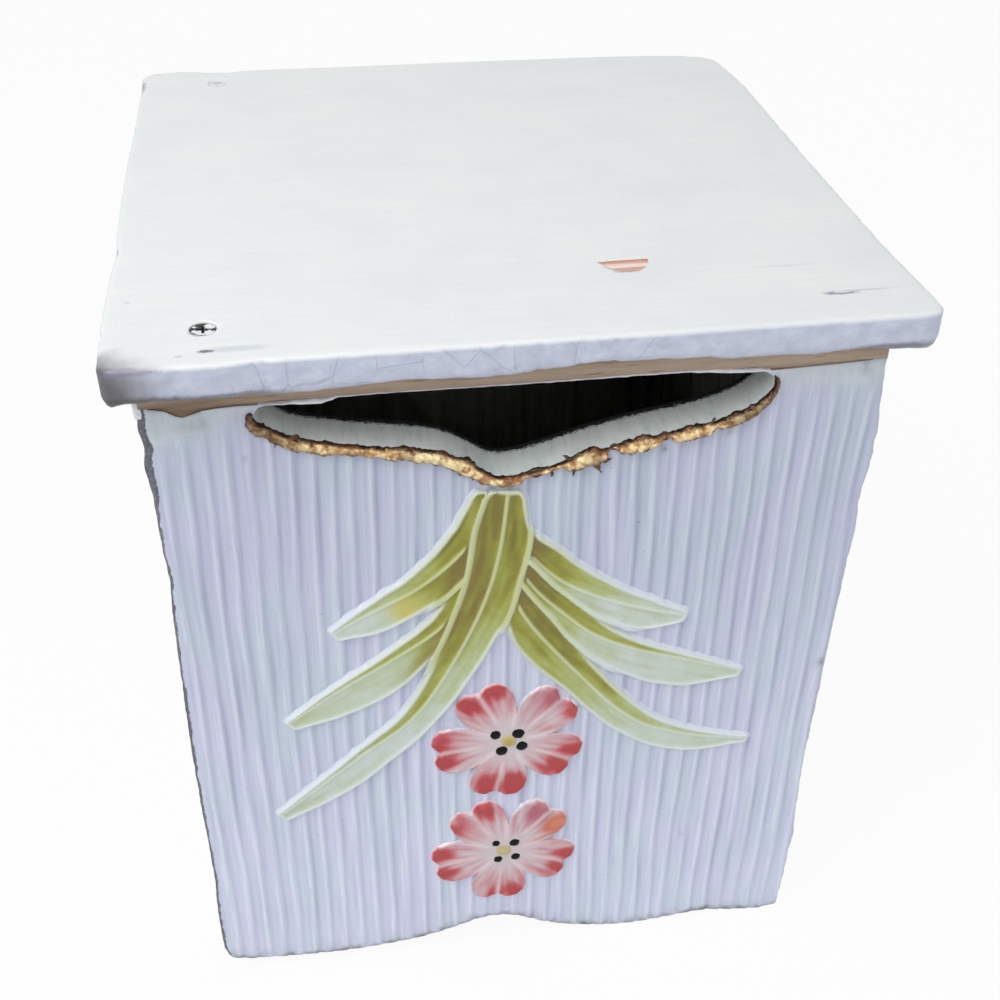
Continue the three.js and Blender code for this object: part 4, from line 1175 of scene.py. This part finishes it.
# Where the lid's four edges lie, along each of them
LID_LEFT = [(-121, -119.2), (-90, -119.9), (-60, -119.4), (-47, -118.6), (-30, -119.6), (20, -119.9),
            (60, -119.3), (98, -118.9), (121, -119.4)]
LID_RIGHT = [(-121, 121.2), (-116, 122), (-110, 121.8), (-98, 121.3), (-90, 120.9), (-80, 120.4), (-70, 120),
             (0, 119.5), (80, 119.8), (90, 119.3), (100, 118.4), (110, 117.4), (121, 116.6)]
LID_FRONT = [(-120, -121.4), (-95, -121.4), (-85, -121), (-78, -120.2), (-40, -120), (0, -119.8), (40, -119.6),
             (80, -119.1), (105, -119), (120, -118.2)]
LID_BACK = [(-120, 119.8), (-112, 120.6), (-105, 121.6), (-98, 120.6), (-92, 119.2), (-85, 118.4), (-78, 120.2),
            (0, 120.4), (75, 120.1), (90, 119.2), (105, 117.6), (112, 115.6), (120, 115)]
# Its corners: the side in X and in Y, and the radius
LID_CORNERS = [(-1, -1, 4), (1, -1, 3.6), (1, 1, 9), (-1, 1, 6)]
# How far the front's lower edge wavers up or down, added by each ring below DROOP_FROM
LID_DROOP = [(-120, -0.5), (-112, -0.1), (-92, -0.1), (-84, -0.16), (-76, -0.25), (-65, -0.3), (-53, -0.12),
             (-38, 0.19), (-24, 0), (-10, -0.14), (7, 0.34), (18.6, 0.75), (30, 0.53), (48, 0.34), (59.5, -0.03),
             (71, 0), (83, -0.18), (95, 0.04), (108, -0.2), (120, -0.5)]
# Rings down the lid's edge and in under it: how far out and how far down each goes from the one before
RINGS = ((0.7, 0.25), (0.6, 0.55), (0.1, 0.9), (0, 2.6), (0, 2.4), (0, 2), (-0.4, 1.2), (-1, 0.9), (-6, 0))
FLAKE = [(-7.8, 3.6), (-4, 4.1), (2, 4.2), (7.6, 4.4), (7, 1.6), (5.6, -1.4), (3.4, -3.2), (0.4, -3.9),
         (-2.6, -3.4), (-5, -1.2), (-7, 1.2)]
FLAKE_X, FLAKE_Y, FLAKE_DEPTH = 35.6, -77.2, 0.5


def lid_plan(across, deep):
    """A place on the lid's top in plan, and its outward direction, from its shares across and deep."""
    x, y = -LID_HALF_X + 2 * LID_HALF_X * across, -LID_HALF_Y + 2 * LID_HALF_Y * deep
    heading = Vector((0, 0))
    for side_x, side_y, radius in LID_CORNERS:
        from_x, from_y = x * side_x - (LID_HALF_X - radius), y * side_y - (LID_HALF_Y - radius)
        if from_x > 0 and from_y > 0:
            shrink = max(from_x, from_y) / math.hypot(from_x, from_y)
            heading = Vector((from_x * side_x, from_y * side_y)).normalized()
            x = side_x * (LID_HALF_X - radius + from_x * shrink)
            y = side_y * (LID_HALF_Y - radius + from_y * shrink)
    if heading.length == 0:
        on_front_or_back = deep < 0.001 or deep > 0.999
        heading = Vector((0, -1 if deep < 0.5 else 1) if on_front_or_back else (-1 if across < 0.5 else 1, 0))
    left, right = between(LID_LEFT, y), between(LID_RIGHT, y)
    front, back = between(LID_FRONT, x), between(LID_BACK, x)
    share_x, share_y = (x + LID_HALF_X) / (2 * LID_HALF_X), (y + LID_HALF_Y) / (2 * LID_HALF_Y)
    placed = Vector((left + share_x * (right - left), front + share_y * (back - front)))
    return placed + heading * 0.2 * waver(x / 5, y / 5, 60), heading


def lid_swell(x, y):
    """How far the top rises or sinks: slowly over the board, and finely along the strokes of the brush."""
    return 0.09 * waver(x / 55, y / 90, 3) + 0.04 * waver(x / 12, y / 3, 9) - 0.08


bm = bmesh.new()
bmesh.ops.create_grid(bm, x_segments=LID_CELLS, y_segments=LID_CELLS, size=0.5)
outward = {}
for vert in bm.verts:
    place, heading = lid_plan(vert.co.x + 0.5, vert.co.y + 0.5)
    near_edge = min(1 - 2 * abs(vert.co.x), 1 - 2 * abs(vert.co.y)) * LID_HALF_X
    if vert.is_boundary:
        outward[vert] = heading
        place -= heading * ARRIS
    vert.co = (place.x, place.y, LID_TOP + lid_swell(place.x, place.y) - 0.12 * math.exp(-near_edge / 2.5))
ring = open_edges(bm.edges)
for out, down in RINGS:
    grown = bmesh.ops.extrude_edge_only(bm, edges=ring)["geom"]
    fresh = {}
    for vert in corners_of(grown):
        parent = next(edge.other_vert(vert) for edge in vert.link_edges if edge.other_vert(vert) in outward)
        heading = outward[parent].to_3d()
        vert.co += heading * out
        vert.co.z -= down
        depth = LID_TOP - vert.co.z
        nick = waver(vert.co.x / 3.5, vert.co.y / 3.5, depth / 2.5)
        vert.co -= heading * (max(0, nick - 0.25) * 0.9 + 0.15 * waver(vert.co.x, vert.co.y, depth))
        if depth > DROOP_FROM and heading.y < -0.5:
            vert.co.z += between(LID_DROOP, vert.co.x) * min(1, (depth - DROOP_FROM + 0.5) / 2.6)
        fresh[vert] = outward[parent]
    outward = fresh
    ring = open_edges(grown)
for vert in outward:
    vert.co.z = LID_FOOT
bmesh.ops.contextual_create(bm, geom=ring)
bmesh.ops.recalc_face_normals(bm, faces=bm.faces)

board = Finish("lid_paint_finish", Coat_Weight=0.1, Coat_Roughness=0.35)
brush = board.clouds(1.6, (22, 1, 22), detail=5, rough=0.6)
cloud = board.clouds(34, detail=4, rough=0.6)
colour = board.ramp(cloud, [
    (0.25, tone(218, 221, 223)), (0.5, tone(225, 227, 226)), (0.75, tone(230, 231, 229)),
])
colour = board.laid(colour, tone(217, 219, 219), board.step(brush, 0.3, 0.7), 0.35)
# Painted shade: the edges below the arris are painted lavender grey, darker than the top, as the same white paint
# turned from the light
side = board.step_on("Z", LID_TOP - 0.4, LID_TOP - 1.8)
colour = board.blend(side, colour, board.ramp(board.clouds(3.2, (1.6, 1, 1), detail=5, rough=0.65), [
    (0.28, tone(178, 183, 200)), (0.5, tone(190, 195, 212)), (0.72, tone(202, 207, 221)),
]))
crack = board.step(board.crackle(13, (1, 1, 1.6)), 0.016, 0.004)
crack = board.times(board.times(crack, side), board.step(cloud, 0.46, 0.56))
colour = board.laid(colour, tone(140, 143, 156), crack, 0.25)
blue, grey, violet = tone(168, 178, 196), tone(84, 84, 92), tone(118, 108, 138)
smoke, soot_and_shade = tone(146, 147, 155), tone(74, 72, 74)
# Soot and worn places along the edges, and painted shade along the lid's lower front edge; then scuffs and the
# marks round the painted screws on the top, with a painted shade and a painted highlight over the right front one
colour = board.blotted(colour, [
    (smoke, 0.9, (-121, -121, LID_FOOT + 4), (18, 10, 9), 0.5, 0.6),
    (soot_and_shade, 0.85, (-122, -121, LID_FOOT + 4), (12, 10, 9), 0.5, 0.9),
    # Painted shade in a dark line along the lid's lower front edge
    (soot_and_shade, 0.85, (-112, -120, LID_FOOT + 0.2), (22, 8, 1.9), 0.5, 0.6),
    (soot_and_shade, 0.6, (-84, -120, LID_FOOT), (14, 8, 1.4), 0.5, 0.6),
    (soot_and_shade, 0.7, (107, -120, LID_FOOT + 0.2), (14, 8, 1.7), 0.5, 0.6),
    (soot_and_shade, 0.6, (-120.5, -120, LID_FOOT + 5), (1.8, 4, 6), 0.6, 0.6),
    (violet, 0.7, (-112, -120.8, LID_TOP - 1), (9, 1.6, 0.9), 0.6, 0.9),
    (soot_and_shade, 0.7, (-118.6, -119.6, LID_TOP - 0.9), (3.2, 1.5, 0.9), 0.5, 0.8),
    (blue, 0.45, (-82, -113, LID_TOP), (8, 1.5, 30), 0.6, 0.9),
    (grey, 0.9, (-90.2, -113.6, LID_TOP), (2, 0.8, 30), 0.5, 1.2),
    (blue, 0.7, (-97.5, -115.5, LID_TOP), (1, 0.5, 30), 0.5),
    (blue, 0.35, (-113, -82, LID_TOP), (0.9, 0.8, 30)),
    (blue, 0.25, (84, -83, LID_TOP), (9, 0.6, 30), 0.7),
    (violet, 0.75, (-119, 104, LID_TOP - 2), (1.8, 7, 3), 0.5, 0.9),
    (grey, 0.6, (-119, -47, LID_TOP - 2), (1.2, 3, 3), 0.4, 0.8),
    # Over the painted right front screw: a grey-blue painted shade of a shallow dip, and beside it a white painted
    # highlight
    (tone(122, 122, 148), 0.85, (94.6, -102.6, LID_TOP), (4.8, 1.1, 30), 0.5, 0.9),
    (tone(234, 236, 242), 0.8, (95.2, -102.1, LID_TOP), (2.8, 0.5, 30), 0.4, 0.3),
    (blue, 0.5, (104, -101.6, LID_TOP), (7, 0.5, 30), 0.7, 0.9),
    (grey, 0.35, (-89.5, 105, LID_TOP), (2.4, 1.6, 30), 0.7, 0.9),
])
height = board.plus(board.times(brush, 0.7), board.clouds(0.8, detail=2), 0.5)
board.done(colour, board.plus(0.36, cloud, 0.2), board.plus(height, crack, -0.5), 0.16)
piece = finish_piece(bm, "lid_painted_board", [board.material], ["lid_board"])

flake_wood = Finish("fresh_bare_wood")
fibre = flake_wood.clouds(1.4, (12, 1, 1), detail=4)
bands = flake_wood.step(flake_wood.plus(flake_wood.place_on("Y"), fibre, 2), -81, -71.5)
colour = flake_wood.ramp(bands, [
    (0.0, tone(170, 118, 102)), (0.22, tone(208, 168, 152)), (0.42, tone(200, 154, 138)),
    (0.58, tone(236, 222, 212)), (0.78, tone(232, 212, 200)), (0.95, tone(208, 158, 144)),
])
flake_wood.done(colour, 0.6, fibre, 0.2)
bm = bmesh.new()
floor_face = bm.faces.new([bm.verts.new((FLAKE_X + x, FLAKE_Y + y, LID_TOP - FLAKE_DEPTH)) for x, y in FLAKE])
pushed = bmesh.ops.extrude_face_region(bm, geom=[floor_face], use_keep_orig=True)["geom"]
bmesh.ops.translate(bm, vec=(0, 0, 3), verts=corners_of(pushed))
cut(piece, tool_from(bm, flake_wood.material))

# Screw places: the front left screw lies open in its hole, the back left one is filled almost flush and painted,
# and the two on the right are painted over
for node, radius, depth in (("lid_screw_front_left", 3.75, 3), ("lid_screw_back_left", 3.4, 0.1)):
    low, high = cad_extent(node)
    middle = (low + high) / 2
    bm = bmesh.new()
    bmesh.ops.create_cone(bm, cap_ends=True, segments=40, radius1=radius, radius2=radius + 0.35, depth=8)
    bmesh.ops.translate(bm, vec=(middle.x, middle.y, LID_TOP - 0.1 - depth + 4), verts=bm.verts)
    cut(piece, tool_from(bm, board.material))


# Lid screws: countersunk wood screws with a cross recess, their steel dulled and flecked with paint. Only the
# front left head is to be seen.
screw = Finish("screw_steel_finish", Metallic=0.35)
dull = screw.clouds(1.2, detail=4)
colour = screw.ramp(dull, [(0.3, tone(14, 14, 16)), (0.55, tone(34, 33, 34)), (0.75, tone(70, 66, 64))])
colour = screw.blend(screw.step(screw.clouds(2.4), 0.52, 0.58), colour, tone(222, 224, 226))
low, high = cad_extent("lid_screw_front_left")
middle = (low + high) / 2
colour = screw.blotted(colour, [
    (tone(226, 228, 230), 1, (middle.x + across, middle.y + deep, LID_TOP), (wide, tall, 30), 0.3, 0.6)
    for across, deep, wide, tall in ((2, 1.7, 1.8, 1.3), (0.4, -2, 2.8, 1.1), (-2.4, -0.9, 0.9, 0.6))
])
screw.done(colour, screw.plus(0.35, dull, 0.3), dull, 0.08)
dress("lid_screw_", screw.material)


# Studio: a plain pale table, a soft lamp high on the left, a weak one in front on the right, and a pale sky that
# fills the shadows. The camera looks down on the front from a little to the left of the middle.
TABLE_SIZE, TABLE_GAP = 9000, 0.3
TABLE_WHITE = 0.94
LAMPS = (("overhead_lamp", (-600, -500, 1200), (0, 0, 150), 800, 11),
         ("front_lamp", (500, -1400, 600), (0, 0, 120), 1000, 3))
CAMERA_PLACE = (-63.381, -455.736, 461.230)
FOCAL_LENGTH = 50.41
YAW, PITCH, ROLL = 0.159165305, 0.618228776, 0.0130152682
bm = bmesh.new()
bmesh.ops.create_grid(bm, x_segments=2, y_segments=2, size=TABLE_SIZE)
bmesh.ops.translate(bm, vec=(0, 0, -TABLE_GAP), verts=bm.verts)
cloth = Finish("pale_table", Roughness=0.9)
cloth.shader.inputs["Base Color"].default_value = tone(228, 228, 230)
made_object(bm, "table", [cloth.material])


def seen_white(tree, lit, target, share):
    """Where the camera, a gloss or glass looks at it, most of a surface's light is plain white."""
    rays = tree.nodes.new("ShaderNodeLightPath")
    seen = rays.outputs["Is Camera Ray"]
    for kind in ("Is Glossy Ray", "Is Transmission Ray"):
        either = tree.nodes.new("ShaderNodeMath")
        either.operation = "MAXIMUM"
        tree.links.new(seen, either.inputs[0])
        tree.links.new(rays.outputs[kind], either.inputs[1])
        seen = either.outputs["Value"]
    part = tree.nodes.new("ShaderNodeMath")
    part.operation = "MULTIPLY"
    part.inputs[1].default_value = share
    tree.links.new(seen, part.inputs[0])
    white = tree.nodes.new("ShaderNodeEmission" if share < 1 else "ShaderNodeBackground")
    mixed = tree.nodes.new("ShaderNodeMixShader")
    tree.links.new(part.outputs["Value"], mixed.inputs["Fac"])
    tree.links.new(lit, mixed.inputs[1])
    tree.links.new(white.outputs[0], mixed.inputs[2])
    tree.links.new(mixed.outputs["Shader"], target)
    white.inputs["Color"].default_value = (1, 1, 1, 1)


surface = cloth.tree.nodes["Material Output"].inputs["Surface"]
seen_white(cloth.tree, cloth.shader.outputs["BSDF"], surface, TABLE_WHITE)

world = bpy.data.worlds.new("pale_sky")
bpy.context.scene.world = world
world.use_nodes = True
sky = world.node_tree.nodes["Background"]
sky.inputs["Color"].default_value = (0.95, 0.97, 1.0, 1)
sky.inputs["Strength"].default_value = 0.5
surface = world.node_tree.nodes["World Output"].inputs["Surface"]
seen_white(world.node_tree, sky.outputs["Background"], surface, 1)
for name, place, aim, size, power in LAMPS:
    light = bpy.data.lights.new(name, "AREA")
    light.shape = "SQUARE"
    light.size = size * MM
    light.energy = power
    lamp = bpy.data.objects.new(name, light)
    lamp.location = Vector(place) * MM
    lamp.rotation_euler = (Vector(aim) - Vector(place)).to_track_quat("-Z", "Y").to_euler()
    bpy.context.scene.collection.objects.link(lamp)

ahead = Vector((math.sin(YAW) * math.cos(PITCH), math.cos(YAW) * math.cos(PITCH), -math.sin(PITCH)))
level_right = Vector((math.cos(YAW), -math.sin(YAW), 0))
level_up = level_right.cross(ahead)
right = level_right * math.cos(ROLL) + level_up * math.sin(ROLL)
up = level_up * math.cos(ROLL) - level_right * math.sin(ROLL)
lens = bpy.data.cameras.new("camera")
lens.sensor_fit = "HORIZONTAL"
lens.sensor_width = 36
lens.lens = FOCAL_LENGTH
lens.clip_start = 0.01
camera = bpy.data.objects.new("camera", lens)
turned = Matrix((right, up, -ahead)).transposed().to_4x4()
camera.matrix_world = Matrix.Translation(Vector(CAMERA_PLACE) * MM) @ turned
bpy.context.scene.collection.objects.link(camera)
bpy.context.scene.camera = camera
